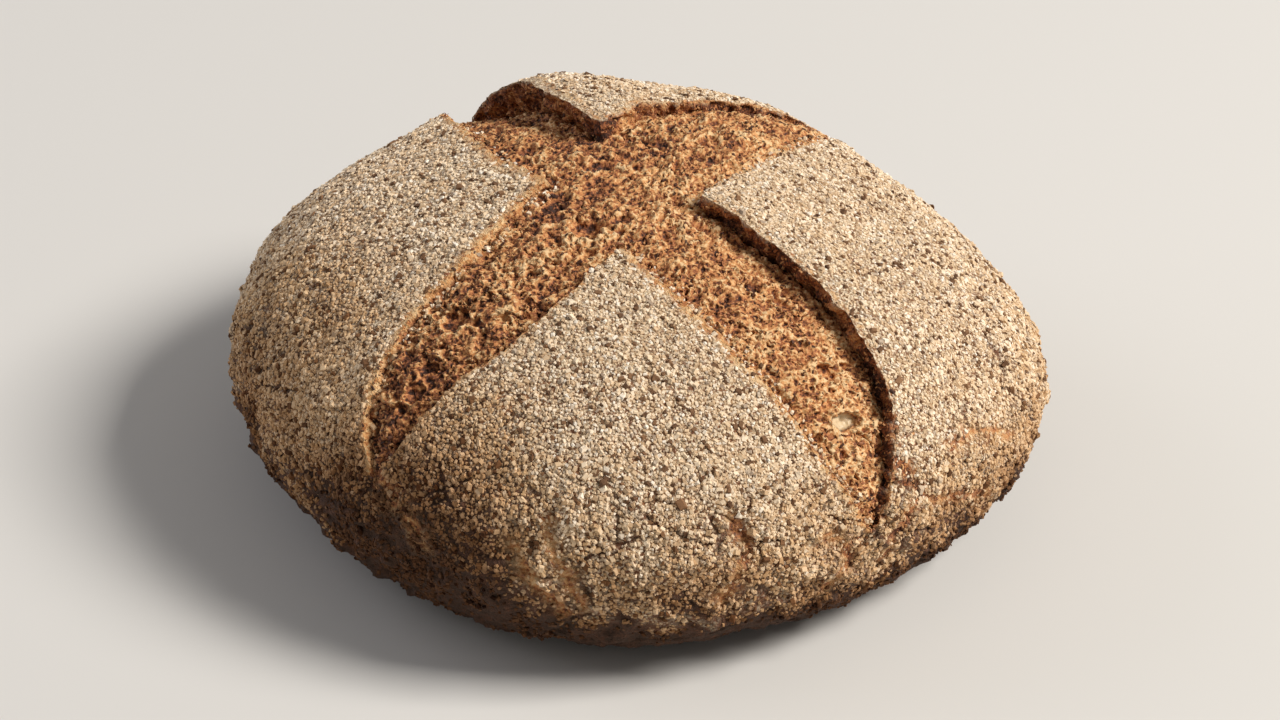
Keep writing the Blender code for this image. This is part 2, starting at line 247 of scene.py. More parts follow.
# How the crumb settles towards the crust's edges, and what its marks are measured against: the ridge mark is
# painted light on ridges and painted shade in pits, the depth mark painted shade deep down
OPEN_UNDERCUT = 0.2
CRUMB_SETTLE = (-1.5 * MM, 1.0 * MM)
HIGHEST_CRUMB = 2.0 * MM
SUNK_AT_EDGE = 0.5 * MM
EDGE_SLOPE = 0.25
RIDGE_ROUNDS = (10, 90)
RIDGE_HEIGHTS = (1.1 * MM, 7.0 * MM)
FULL_DEPTH = 12 * MM
SHALLOW_HOLE = 0.5 * MM

SEED = 1907


def waves(azimuth, shares):
    """Sum of cosine and sine waves round the loaf, with azimuth in radians."""
    total = np.zeros_like(azimuth)
    for turns, (cosine, sine) in enumerate(shares, start=1):
        total += cosine * np.cos(turns * azimuth) + sine * np.sin(turns * azimuth)
    return total


def peel(azimuth, latitude):
    """The crust laid flat round the crown, in metres: where a point is when the skin is peeled."""
    reach = CROWN_TO_GIRTH * latitude / CREST
    return np.stack([reach * np.cos(azimuth), reach * np.sin(azimuth)], axis=-1)


def swell(flat):
    """Height of the back quarter's broad swell."""
    middle = peel(math.radians(SWELL_MIDDLE[0]), SWELL_MIDDLE[1])
    away = (flat - middle) / np.array(SWELL_REACH)
    return SWELL_HEIGHT * np.exp(-(away**2).sum(axis=-1))


def dome(azimuth, latitude):
    """Points of the smooth loaf, from the azimuth in radians and the latitude in degrees."""
    girth = GIRTH_RADIUS * (1 + waves(azimuth, GIRTH_WAVES))
    power = 2 / (SHOULDER + waves(azimuth, SHOULDER_WAVES))
    base = BASE_RADIUS * girth / GIRTH_RADIUS
    upper = np.radians(np.clip(latitude, 0, CREST))
    radius = girth * np.sin(upper) ** power
    height = GIRTH_HEIGHT + DOME_RISE * np.clip(np.cos(upper), 0, 1) ** power
    height += swell(peel(azimuth, latitude)) * (latitude < CREST)

    below = latitude > CREST
    turn = np.clip((latitude - CREST) / (UNDERSIDE_END - CREST), 0, 1) * math.pi / 2
    radius = np.where(below, base + (girth - base) * np.cos(turn), radius)
    height = np.where(below, GIRTH_HEIGHT * (1 - np.sin(turn)), height)

    inward = np.clip((BASE_CENTRE - latitude) / (BASE_CENTRE - UNDERSIDE_END), 0, 1)
    radius = np.where(latitude > UNDERSIDE_END, base * inward, radius)
    return np.stack([radius * np.cos(azimuth), radius * np.sin(azimuth), height], axis=-1)


def on_dome(flat):
    """Points of the smooth loaf from points of the peeled crust."""
    latitude = np.linalg.norm(flat, axis=1) * CREST / CROWN_TO_GIRTH
    return dome(np.arctan2(flat[:, 1], flat[:, 0]), latitude)


def outwards(points):
    """Unit directions away from the heart of the loaf."""
    away = points - HEART
    return away / np.linalg.norm(away, axis=-1, keepdims=True)


def latitudes_of(points):
    """Azimuth and latitude of the smooth loaf's point that lies straight out from the heart, found
    by halving the span that it can lie in."""
    azimuth = np.arctan2(points[:, 1], points[:, 0])

    def tilt(places):
        away = places - HEART
        return np.arctan2(np.hypot(away[:, 0], away[:, 1]), away[:, 2])

    wanted = tilt(points)
    low, high = np.zeros(len(points)), np.full(len(points), BASE_CENTRE)
    for _ in range(HALVINGS):
        middle = (low + high) / 2
        too_low = tilt(dome(azimuth, middle)) < wanted
        low = np.where(too_low, middle, low)
        high = np.where(too_low, high, middle)
    return azimuth, (low + high) / 2


def noise_at(points, size, octaves=3, layer=0.0):
    """Fractal noise of about -1 to 1, with lumps of the given size. Each layer is a pattern."""
    return np.array([noise.fractal(Vector(p), 1.0, 2.0, octaves) for p in points / size + layer])


def noise_of_flat(flat, size, layer):
    """Noise of about -1 to 1 over the peeled crust. Each layer is a different pattern."""
    return np.array([noise.noise(Vector((x / size, y / size, layer))) for x, y in flat])


def sway_at(points, size, layers):
    """Noise that moves points, with a layer for each axis."""
    return np.stack([noise_at(points, size, 2, layer) for layer in layers], axis=1)


def sway_of_flat(flat, size, layers):
    """Noise that moves points of the peeled crust, with a layer for each axis."""
    return np.stack([noise_of_flat(flat, size, layer) for layer in layers], axis=1)


def smooth_step(values, low, high):
    """Runs softly from 0 at low to 1 at high, which may be the smaller one."""
    share = np.clip((values - low) / (high - low), 0, 1)
    return share * share * (3 - 2 * share)


def smooth_line(corners):
    """A Catmull-Rom curve through flat points, sampled about every edge step."""
    padded = np.vstack([2 * corners[0] - corners[1], corners, 2 * corners[-1] - corners[-2]])
    line = []
    for before, start, end, after in zip(padded, padded[1:], padded[2:], padded[3:]):
        count = max(2, int(np.linalg.norm(end - start) / EDGE_STEP))
        slope = end - before
        bend = 2 * before - 5 * start + 4 * end - after
        twist = 3 * start - before - 3 * end + after
        for share in np.arange(count) / count:
            line.append(start + (slope * share + bend * share**2 + twist * share**3) / 2)
    line.append(corners[-1])
    return np.array(line)


def line_through(corners):
    """A smooth line on the peeled crust, from the azimuth and latitude of its corners."""
    return smooth_line(np.array([peel(math.radians(azimuth), latitude) for azimuth, latitude in corners]))


def trace_edge(edge):
    """The edge's flat line, with what the crust does at each of its points."""
    line = line_through(edge.points)
    along = TAPER_START + (1 - TAPER_START) * np.linspace(0, 1, len(line))
    taper = np.sqrt(np.clip(np.sin(math.pi * along), 0, 1))
    depth = np.linspace(*edge.depth, len(line))
    return {
        "line": line,
        "lift": edge.lift * taper,
        "width": edge.width,
        "depth": depth * (TIP_DEPTH + (1 - TIP_DEPTH) * taper),
        "undercut": edge.undercut * taper * depth / edge.depth[0],
        "rim": np.full(len(line), edge.rim),
    }


class Cross(NamedTuple):
    """The burst cross on the peeled crust: its edges and its closed outline, anticlockwise."""

    arms: list
    outline: np.ndarray
    undercut: np.ndarray
    rim: np.ndarray


def make_cross():
    arms = [[trace_edge(edge) for edge in arm] for arm in ARMS]
    joined = {}
    for key in ("line", "undercut", "rim"):
        joined[key] = np.concatenate(
            [run for out_edge, back_edge in arms for run in (out_edge[key], back_edge[key][::-1][1:])]
        )
    line = joined["line"]
    wobble = EDGE_WOBBLE * sway_of_flat(line, EDGE_WOBBLE_SIZE, WOBBLE_LAYERS)
    fray = FRAY * sway_of_flat(line, FRAY_SIZE, FRAY_LAYERS)
    return Cross(arms, line + wobble + fray, joined["undercut"], joined["rim"])


def nearest(points, line):
    """Distance from each point to the line, and the index of the nearest of the line's points."""
    spatial = np.zeros((len(line), 3))
    spatial[:, : line.shape[1]] = line
    tree = KDTree(len(line))
    for index, place_on_line in enumerate(spatial):
        tree.insert(place_on_line, index)
    tree.balance()
    wanted = np.zeros((len(points), 3))
    wanted[:, : points.shape[1]] = points
    found = [tree.find(point) for point in wanted]
    return np.array([distance for _, _, distance in found]), np.array([index for _, index, _ in found])


def inside(flat, outline):
    """True for the flat points that lie in the closed outline."""
    x, y = flat[:, 0], flat[:, 1]
    found = np.zeros(len(flat), bool)
    for (x0, y0), (x1, y1) in zip(outline, np.roll(outline, -1, axis=0)):
        crosses = (y0 > y) != (y1 > y)
        with np.errstate(divide="ignore", invalid="ignore"):
            found ^= crosses & (x < (x1 - x0) * (y - y0) / (y1 - y0) + x0)
    return found


def crust_lift(flat, cross):
    """How far the lifted edges raise the crust. Inside the cross this is cut away."""
    lift = np.zeros(len(flat))
    for edge in (edge for arm in cross.arms for edge in arm):
        distance, index = nearest(flat, edge["line"])
        lift = np.maximum(lift, edge["lift"][index] * np.exp(-((distance / edge["width"]) ** 2)))
    return lift


def crumb_depth(flat, cross):
    """Depth of the torn crumb under the smooth dome, and how far each point lies in the cross."""
    weights = np.zeros(len(flat))
    depths = np.zeros(len(flat))
    for edge in (edge for arm in cross.arms for edge in arm):
        distance, index = nearest(flat, edge["line"])
        weight = 1 / (distance + BLEND_DISTANCE) ** 2
        weights += weight
        depth = edge["depth"][index]
        foot = FOOT_RISE * np.clip(depth - FOOT_FROM, 0, None) * np.exp(-((distance / FOOT_REACH) ** 2))
        depths += weight * (depth - foot)
    to_outline, _ = nearest(flat, cross.outline)
    within = inside(flat, cross.outline)
    bulge = CRUMB_BULGE * np.clip(to_outline / BULGE_REACH, 0, 1)
    dive = np.minimum(DIVE_SLOPE * to_outline, DIVE_DEPTH)
    return depths / weights + np.where(within, -bulge, dive), np.where(within, to_outline, -to_outline)


def vectors_of(items, name):
    found = np.empty(len(items) * 3, np.float32)
    items.foreach_get(name, found)
    return found.reshape(-1, 3).astype(float)


def points_of(mesh):
    return vectors_of(mesh.vertices, "co")


def normals_of(mesh):
    return vectors_of(mesh.vertex_normals, "vector")


def place(mesh, points):
    mesh.vertices.foreach_set("co", points.astype(np.float32).ravel())
    mesh.update()


def paint(mesh, name, values):
    """Keeps a value for each vertex, for a material to read."""
    attribute = mesh.attributes.new(name, "FLOAT", "POINT")
    attribute.data.foreach_set("value", values.astype(np.float32))


def make_active(obj):
    bpy.ops.object.select_all(action="DESELECT")
    obj.select_set(True)
    bpy.context.view_layer.objects.active = obj


@contextmanager
def editing(obj):
    """Edit mode on one object, with all of it selected."""
    make_active(obj)
    bpy.ops.object.mode_set(mode="EDIT")
    bpy.ops.mesh.select_all(action="SELECT")
    yield
    bpy.ops.object.mode_set(mode="OBJECT")


def face_outwards(obj):
    with editing(obj):
        bpy.ops.mesh.normals_make_consistent(inside=False)


def name_piece(obj, name):
    obj.name = name
    obj.data.name = name


def apply_modifiers(obj):
    make_active(obj)
    for modifier in list(obj.modifiers):
        bpy.ops.object.modifier_apply(modifier=modifier.name)


def dress(piece, material):
    """Gives the piece its finish and fixes it to the loaf, in whose place it stands."""
    piece.data.materials.clear()
    piece.data.materials.append(material)
    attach(piece, "root")
    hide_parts("loaf")


def lines_on_crust(shown):
    """Lines given by the azimuth and latitude of their corners, as points on the smooth loaf."""
    lines = []
    for corners in shown:
        flat = line_through(corners)
        wobble = sway_of_flat(flat, EDGE_WOBBLE_SIZE, FRAY_LAYERS)
        lines.append(on_dome(flat + 2 * EDGE_WOBBLE * wobble))
    return np.concatenate(lines)


def cracks_at(points):
    """Share of a crack's depth at each point: a warped net of cracks, open in places only."""
    places = (points + CRACK_BEND * sway_at(points, CRACK_SPACING, (3.0, 7.0, 9.0))) / CRACK_SPACING
    open_share = smooth_step(noise_at(points, CRACK_SPACING, 1, 21.0), *CRACK_OPENING)
    share = np.zeros(len(points))
    for index in np.flatnonzero(open_share > 0):
        distances, _ = noise.voronoi(Vector(places[index]))
        share[index] = max(0.0, 1 - (distances[1] - distances[0]) / CRACK_WIDTH)
    distance, _ = nearest(points, lines_on_crust(SHOWN_CRACKS))
    width = SHOWN_CRACK_WIDTH * (1 + noise_at(points, SKIRT_SIZE, 2, 23.0))
    return np.maximum(share * open_share, np.exp(-((distance / width) ** 2)))


def scars_at(points):
    """How far the crust is bare and golden at each point, along ragged scars."""
    distance, _ = nearest(points, lines_on_crust(SCARS))
    ragged = 1 + SCAR_RAGGEDNESS * noise_at(points, SCAR_RAGGED_SIZE, 3, 29.0)
    return np.exp(-((distance / (SCAR_WIDTH * np.clip(ragged, 0.2, 2))) ** 2))


def crust_relief(points, latitude):
    """Height of the crust over the smooth loaf, without its lifted edges, and where it has cracks
    and scars."""
    low = np.clip((SKIRT_TOP - points[:, 2]) / SKIRT_TOP, 0, 1)
    relief = LUMP_HEIGHT * noise_at(points, LUMP_SIZE)
    relief += SKIRT_HEIGHT * low * noise_at(points, SKIRT_SIZE, 4)
    clumps = np.clip(noise_at(points, CLUMP_SIZE, 3, 5.0), 0, None)
    rough = smooth_step(points[:, 2], ROUGH_FROM, ROUGH_BELOW)
    relief += CLUMP_HEIGHT * (CLUMPS_ON_TOP + (1 - CLUMPS_ON_TOP) * rough) * clumps
    pebbles = noise_at(points, PEBBLE_SIZE, 2, 8.0)
    relief += PEBBLE_HEIGHT * (PEBBLES_ON_TOP + (1 - PEBBLES_ON_TOP) * rough) * pebbles
    lower_half = points[:, 2] < CRACKS_END
    cracks = np.zeros(len(points))
    cracks[lower_half] = cracks_at(points[lower_half])
    cracks *= smooth_step(points[:, 2], CRACKS_END, CRACKS_FULL)
    scars = scars_at(points)
    relief -= CRACK_DEPTH * cracks + SCAR_DEPTH * scars
    return relief * np.clip((UNDERSIDE_END - latitude) / RELIEF_FADE, 0, 1), cracks, scars


class CrustSkin(NamedTuple):
    """The uncut crust, point by point: what the meal lies on."""

    points: np.ndarray
    normals: np.ndarray
    flat: np.ndarray
    latitude: np.ndarray
    cracks: np.ndarray
    scars: np.ndarray


class Bed(NamedTuple):
    """Points that loose chips lie on, with the way out and a chance for each point."""

    points: np.ndarray
    normals: np.ndarray
    chance: np.ndarray


def join_beds(*beds):
    return Bed(*(np.concatenate(parts) for parts in zip(*beds)))


def add_ball():
    bpy.ops.mesh.primitive_ico_sphere_add(subdivisions=BALL_LEVELS, radius=1.0)
    ball = bpy.context.object
    points = points_of(ball.data)
    points /= np.linalg.norm(points, axis=1, keepdims=True)
    azimuth = np.arctan2(points[:, 1], points[:, 0])
    return ball, azimuth, np.degrees(np.arccos(np.clip(points[:, 2], -1, 1)))


def shape_skin(cross):
    """The whole skin of the loaf, before the cross opens in it."""
    ball, azimuth, latitude = add_ball()
    points = dome(azimuth, latitude)
    flat = peel(azimuth, latitude)
    relief, cracks, scars = crust_relief(points, latitude)
    raised = crust_lift(flat, cross) * (latitude < LIFT_END)
    moved = points + outwards(points) * (raised + relief)[:, None]
    moved[:, 2] = np.where(latitude >= UNDERSIDE_END, 0.0, np.maximum(moved[:, 2], 0.0))
    place(ball.data, moved)
    return ball, CrustSkin(moved, normals_of(ball.data), flat, latitude, cracks, scars)


def wall_directions(cross):
    """For each point of the cross's outline: its place on the dome, the way out, and the way across."""
    along = np.roll(cross.outline, -1, axis=0) - np.roll(cross.outline, 1, axis=0)
    along /= np.linalg.norm(along, axis=1, keepdims=True)
    sideways = np.stack([along[:, 1], -along[:, 0]], axis=1)
    surface = on_dome(cross.outline)
    across = on_dome(cross.outline + sideways * MM) - surface
    across /= np.linalg.norm(across, axis=1, keepdims=True)
    return surface, outwards(surface), across


def add_cutter(cross):
    """A body with the cross's outline, extruded level by level, with ragged walls."""
    count = len(cross.outline)
    mesh = bpy.data.meshes.new("score_cutter")
    mesh.from_pydata(
        [(x, y, 0.0) for x, y in cross.outline], [(k, (k + 1) % count) for k in range(count)], []
    )
    cutter = bpy.data.objects.new("score_cutter", mesh)
    bpy.context.scene.collection.objects.link(cutter)
    with editing(cutter):
        bpy.ops.mesh.fill(use_beauty=True)
        for _ in range(WALL_LEVELS):
            bpy.ops.mesh.extrude_region_move(TRANSFORM_OT_translate={"value": (0, 0, 1)})

    points = points_of(mesh)
    _, index = nearest(points[:, :2], cross.outline)
    level = np.round(points[:, 2]).astype(int)
    surface, out, across = (part[index] for part in wall_directions(cross))
    crust_top = crust_lift(cross.outline, cross)[index]
    under_crust = np.linspace(CUT_INSIDE, -WALL_TOP, WALL_LEVELS)[np.minimum(level, WALL_LEVELS - 1)]
    depth = np.where(level == WALL_LEVELS, -CUT_OUTSIDE, under_crust - crust_top)[:, None]
    placed = surface - out * depth + across * cross.undercut[index][:, None] * depth
    ragged = sum(height * noise_at(placed, size, 2, 31.0) for height, size in WALL_ROUGHNESS)
    ragged *= smooth_step(under_crust, 0.0, WALL_CLEAN_TOP) * (level < WALL_LEVELS)
    placed += (across + out / 2) * ragged[:, None]
    place(mesh, placed)
    face_outwards(cutter)
    return cutter


def cut_cross(skin, cutter):
    """Opens the cross in the skin and thins the mesh to the wanted number of triangles."""
    opening = skin.modifiers.new("burst_cross", "BOOLEAN")
    opening.operation = "DIFFERENCE"
    opening.object = cutter
    opening.solver = "MANIFOLD"
    apply_modifiers(skin)
    bpy.data.objects.remove(cutter, do_unlink=True)
    triangles = sum(len(face.vertices) - 2 for face in skin.data.polygons)
    thin_out = skin.modifiers.new("fewer_faces", "DECIMATE")
    thin_out.ratio = CRUST_TRIANGLES / triangles
    apply_modifiers(skin)


def paint_crust(skin, cross):
    """Marks the torn walls, the bare rims, the cracks and the scars. Returns the bed for flakes."""
    points = points_of(skin.data)
    azimuth, latitude = latitudes_of(points)
    smooth = dome(azimuth, latitude)
    flat = peel(azimuth, latitude)
    top = np.linalg.norm(smooth - HEART, axis=1) + crust_lift(flat, cross) * (latitude < LIFT_END)
    depth = top - np.linalg.norm(points - HEART, axis=1)
    distance, index = nearest(flat, cross.outline)
    rim_width = cross.rim[index] * (1 + RIM_RAGGEDNESS * noise_at(points, RIM_RAGGED_SIZE, 3, 13.0))
    wall = (distance < WALL_REACH) * smooth_step(depth, RIM_INNER * rim_width, rim_width + WALL_MARGIN)
    rim = (1 - smooth_step(distance, RIM_INNER * rim_width, RIM_OUTER * rim_width)) * (latitude < CREST)
    _, cracks, scars = crust_relief(smooth, latitude)
    for name, values in (("wall", wall), ("rim", rim), ("crack", cracks), ("scar", scars)):
        paint(skin.data, name, values)
    return Bed(points, normals_of(skin.data), np.where(wall > 0.5, WALL_FLAKE_CHANCE, RIM_FLAKE_CHANCE * rim))


def make_crust(cross, material):
    """The crust, cut open. Returns its uncut skin and the bed for the flakes on its walls and rims."""
    skin, laid = shape_skin(cross)
    cut_cross(skin, add_cutter(cross))
    torn = paint_crust(skin, cross)
    make_active(skin)
    bpy.ops.object.shade_smooth_by_angle(angle=math.radians(SMOOTH_UP_TO))
    name_piece(skin, "crust")
    dress(skin, material)
    return laid, torn


class GasHole(NamedTuple):
    """A burst gas hole in the torn crumb."""

    azimuth: float
    latitude: float
    radius: float
    stretch: float = 1.3  # length over width
    turn: float = 0.0  # which way it lies, in degrees
    pale: float = 0.0  # how pale the skin inside it is


SHOWN_HOLES = (
    GasHole(307, 58, 3.6 * MM, 1.5, turn=20, pale=1.0),
    GasHole(305, 54, 1.8 * MM, 1.4, turn=60),
    GasHole(310, 48, 3.4 * MM, 1.2),
    GasHole(309, 43, 2.4 * MM, 1.3, turn=20),
    GasHole(231, 11, 3.8 * MM, 1.2, turn=40),
    GasHole(224, 38, 3.6 * MM, 1.3, turn=50),
    GasHole(228, 55, 3.0 * MM, 1.5, turn=50),
    GasHole(227, 49, 2.4 * MM, 1.2, turn=20),
    GasHole(90, 17, 2.6 * MM, 1.4),
    GasHole(81, 16, 3.0 * MM, 1.3),
    GasHole(98, 10, 2.4 * MM, 1.2),
    GasHole(106, 19, 2.4 * MM, 1.3),
    GasHole(121, 8, 2.8 * MM, 1.4, turn=20),
    GasHole(107, 8, 2.0 * MM, 1.1),
    GasHole(136, 20, 2.8 * MM, 1.3),
    GasHole(50, 38, 2.6 * MM, 1.8, turn=10),
    GasHole(45, 18, 2.2 * MM, 1.6),
    GasHole(311, 28, 2.4 * MM, 1.2),
    GasHole(315, 33, 2.6 * MM, 1.5, turn=-40),
)
SEEDED_HOLES = 130
HOLE_SIZES = (0.6 * MM, 2.0 * MM)
HOLE_SIZE_BIAS = 2.5
HOLE_STRETCHES = (1.0, 1.9)
HOLE_TRIES = 8
HOLE_DEPTH = 1.0
HOLE_LIP = 0.14
HOLE_LIP_AT = 1.12
HOLE_LIP_WIDTH = 0.2
HOLE_REACH = 2.0
HOLE_CALM = (1.0 * MM, 0.3 * MM)
ROUGH_IN_HOLES = 0.3
HOLE_RAGGEDNESS = 0.5
HOLE_RAGGED_SIZE = 2.6 * MM
HOLE_PALE = (0.4, 0.8)
SMALL_HOLES_NEAR = 3
SMALL_HOLE_AWAY = (1.5, 2.3)
SMALL_HOLE_SIZES = (0.3, 0.55)
SMALL_HOLE_STRETCH = 1.3


def list_holes(cross):
    """The holes that show, with smaller ones close by, then holes all over the crumb. Each has a
    flat middle, a radius, a stretch, a turn and a paleness."""
    draw = np.random.RandomState(SEED)
    holes = []
    for hole in SHOWN_HOLES:
        middle = peel(math.radians(hole.azimuth), hole.latitude)
        holes.append((middle, hole.radius, hole.stretch, math.radians(hole.turn), hole.pale))
        for way in draw.uniform(0, 2 * math.pi, SMALL_HOLES_NEAR):
            away = draw.uniform(*SMALL_HOLE_AWAY) * hole.radius * np.array([math.cos(way), math.sin(way)])
            radius = draw.uniform(*SMALL_HOLE_SIZES) * hole.radius
            holes.append((middle + away, radius, SMALL_HOLE_STRETCH, way, 0.0))
    low, high = cross.outline.min(axis=0), cross.outline.max(axis=0)
    tries = draw.uniform(low, high, (SEEDED_HOLES * HOLE_TRIES, 2))
    for middle in tries[inside(tries, cross.outline)][:SEEDED_HOLES]:
        radius = HOLE_SIZES[0] + (HOLE_SIZES[1] - HOLE_SIZES[0]) * draw.rand() ** HOLE_SIZE_BIAS
        holes.append((middle, radius, draw.uniform(*HOLE_STRETCHES), draw.uniform(0, math.pi), 0.0))
    return holes


def holes_at(flat, cross):
    """How far the holes sink the crumb, how far their lips raise it, and how pale they are."""
    sink, lip, paleness = (np.zeros(len(flat)) for _ in range(3))
    ragged = 1 + HOLE_RAGGEDNESS * noise_of_flat(flat, HOLE_RAGGED_SIZE, 19.0)
    for middle, radius, stretch, turn, pale in list_holes(cross):
        close = np.flatnonzero(np.abs(flat - middle).max(axis=1) < HOLE_REACH * radius * stretch)
        away = flat[close] - middle
        along = away[:, 0] * math.cos(turn) + away[:, 1] * math.sin(turn)
        aside = away[:, 1] * math.cos(turn) - away[:, 0] * math.sin(turn)
        uneven = 1 if pale else ragged[close]
        share = np.hypot(along / stretch, aside) / (radius * uneven)
        bowl = np.sqrt(np.clip(1 - share**2, 0, 1))
        sink[close] = np.maximum(sink[close], HOLE_DEPTH * radius * bowl)
        ring = HOLE_LIP * radius * np.exp(-(((share - HOLE_LIP_AT) / HOLE_LIP_WIDTH) ** 2))
        lip[close] = np.maximum(lip[close], ring)
        paleness[close] = np.maximum(paleness[close], pale * smooth_step(bowl, *HOLE_PALE))
    return sink, lip, paleness


def crumb_relief(points, reach, sink, lip):
    """Height of the crags, torn plates, webs, pits, crisp grain and holes of the torn crumb."""
    bent = points + WARP * sway_at(points, WARP_SIZE, (41.0, 47.0, 53.0))
    plates = noise_at(bent, PLATE_SIZE, 3, 61.0)
    level = PLATE_STEPS * plates + reach / STRATUM
    share = level - np.floor(level)
    relief = PLATE_HEIGHT * (plates + (smooth_step(share, *PLATE_DROP) - share) / PLATE_STEPS)
    relief += WEB_HEIGHT * (WEB_LEVEL - np.abs(noise_at(bent, WEB_SIZE, 3, 67.0)))
    relief += CRISP_HEIGHT * noise_at(bent, CRISP_SIZE, 2, 71.0)
    pitted = smooth_step(noise_at(points, PIT_PATCHES, 2, 77.0), *PIT_PATCH_EDGE)
    relief -= PIT_DEPTH * pitted * smooth_step(noise_at(bent, PIT_SIZE, 2, 79.0), *PIT_EDGE)
    relief *= ROUGH_IN_HOLES + (1 - ROUGH_IN_HOLES) * smooth_step(sink, *HOLE_CALM)
    return CRAG_HEIGHT * noise_at(points, CRAG_SIZE) + relief + lip - sink


def spread(values, edges, rounds):
    """Values smoothed along the mesh's edges, a given number of times."""
    count = np.bincount(edges.ravel(), minlength=len(values))
    for _ in range(rounds):
        total = np.bincount(edges[:, 0], values[edges[:, 1]], len(values))
        total += np.bincount(edges[:, 1], values[edges[:, 0]], len(values))
        values = (values + total / np.maximum(count, 1)) / 2
    return values


def delete_points(obj, unwanted):
    with editing(obj):
        bpy.ops.mesh.select_mode(type="VERT")
        bpy.ops.mesh.select_all(action="DESELECT")
    obj.data.vertices.foreach_set("select", unwanted)
    bpy.ops.object.mode_set(mode="EDIT")
    bpy.ops.mesh.delete(type="VERT")
    bpy.ops.object.mode_set(mode="OBJECT")


def close_underneath(sheet):
    """Extrudes the sheet's border down and fills the hole, so that the piece is a closed body."""
    with editing(sheet):
        bpy.ops.mesh.select_mode(type="EDGE")
        bpy.ops.mesh.select_all(action="SELECT")
        bpy.ops.mesh.region_to_loop()
        bpy.ops.mesh.extrude_edges_move(TRANSFORM_OT_translate={"value": (0, 0, -1)})
        bpy.ops.mesh.fill(use_beauty=False)


def lay_out_crumb(cross):
    """A closed flat sheet in the shape of the cross, with a margin that goes under the crust."""
    cells = round(CRUMB_SPAN / CRUMB_PITCH)
    bpy.ops.mesh.primitive_grid_add(x_subdivisions=cells, y_subdivisions=cells, size=CRUMB_SPAN)
    crumb = bpy.context.object
    flat = points_of(crumb.data)[:, :2]
    close = (flat > cross.outline.min(axis=0) - DIVE_DEPTH).all(axis=1)
    close &= (flat < cross.outline.max(axis=0) + DIVE_DEPTH).all(axis=1)
    wanted = np.zeros(len(flat), bool)
    distance, index = nearest(flat[close], cross.outline)
    margin = CRUMB_MARGIN + CRUMB_UNDERCUT_MARGIN * np.clip(cross.undercut[index], 0, None)
    wanted[close] = inside(flat[close], cross.outline) | (distance < margin)
    delete_points(crumb, ~wanted)
    close_underneath(crumb)
    return crumb


def settle(depth, relief, reach, undercut):
    """Depth of the crumb with its relief, which fades out where the crust's edge isn't undercut."""
    open_edge = undercut > OPEN_UNDERCUT
    fade = np.where(open_edge, 1.0, smooth_step(reach, *CRUMB_SETTLE))
    least = np.where(open_edge, -HIGHEST_CRUMB, SUNK_AT_EDGE - EDGE_SLOPE * reach)
    return np.maximum(depth - relief * fade, least)


def paint_crumb(mesh, relief, depth, paleness):
    """Marks the crumb's ridges and pits for painted light and shade, its depth for painted shade deep down,
    and its pale holes.
    """
    edges = np.array([edge.vertices for edge in mesh.edges])
    # Relief above its blurred self: ridges get painted light, pits painted shade
    ridge_light_pit_shade = 0.5
    for rounds, height in zip(RIDGE_ROUNDS, RIDGE_HEIGHTS):
        ridge_light_pit_shade = ridge_light_pit_shade + (relief - spread(relief, edges, rounds)) / height
    paint(mesh, "ridge_light_pit_shade", np.clip(ridge_light_pit_shade, 0, 1))
    # Depth of the crumb, read by its material as painted shade where it lies deep under the crust's edges
    paint(mesh, "depth", np.clip(depth / FULL_DEPTH, 0, 1))
    paint(mesh, "pale", paleness)


def make_crumb(cross, material):
    """The torn crumb, wrapped on the loaf. Returns the beds for its flakes and for the loose
    grains near its edges."""
    crumb = lay_out_crumb(cross)
    flat = points_of(crumb.data)
    lower = flat[:, 2] < -0.5
    flat = flat[:, :2]
    points = on_dome(flat)
    depth, reach = crumb_depth(flat, cross)
    sink, lip, paleness = holes_at(flat, cross)
    relief = crumb_relief(points, reach, sink, lip)
    undercut = cross.undercut[nearest(flat, cross.outline)[1]]
    depth = settle(depth, relief, reach, undercut)
    placed = points - outwards(points) * (depth + CRUMB_THICKNESS * lower)[:, None]
    shift = SHIFT * sway_at(points, SHIFT_SIZE, (73.0, 79.0, 83.0))
    placed += shift * smooth_step(reach, 0.0, SHIFT_FULL)[:, None]
    place(crumb.data, placed)
    paint_crumb(crumb.data, relief, depth, paleness)
    face_outwards(crumb)
    bpy.ops.object.shade_smooth()
    name_piece(crumb, "torn_crumb")
    dress(crumb, material)

    placed, normals = points_of(crumb.data), normals_of(crumb.data)
    shown = (reach > 0) & ~lower
    flakes = Bed(placed, normals, FLAKE_CHANCE * (shown & (sink < SHALLOW_HOLE)))
    near_edge = np.clip(1 - reach / LOOSE_REACH, 0, 1)
    grains = Bed(placed, normals, LOOSE_GRAINS * (shown & (undercut < 0)) * near_edge)
    return flakes, grains


class Chip(NamedTuple):
    """One kind of chip: a grain of meal, or a flake of torn crumb."""

    name: str
    share: float  # share of all the chips on its bed
    length: float  # usual length
    pale: tuple  # its palest colour
    dark: tuple  # its darkest colour


MEALS = (
    Chip("meal_cream", 0.30, 1.10 * MM, (248, 230, 205), (226, 203, 172)),
    Chip("meal_warm", 0.26, 1.05 * MM, (240, 217, 186), (212, 185, 150)),
    Chip("meal_white", 0.11, 1.00 * MM, (248, 238, 222), (234, 218, 196)),
    Chip("meal_tan", 0.20, 1.10 * MM, (224, 197, 162), (184, 153, 119)),
    Chip("meal_bran", 0.07, 1.30 * MM, (146, 110, 80), (80, 58, 44)),
    Chip("meal_grey", 0.06, 1.10 * MM, (212, 194, 171), (158, 135, 114)),
)
GRAIN_FORM = (0.74, 0.4)
GRAIN_TILT = 0.24
GRAIN_CHANCE = 0.90
LOOSE_GRAINS = 0.16
LOOSE_REACH = 3.5 * MM

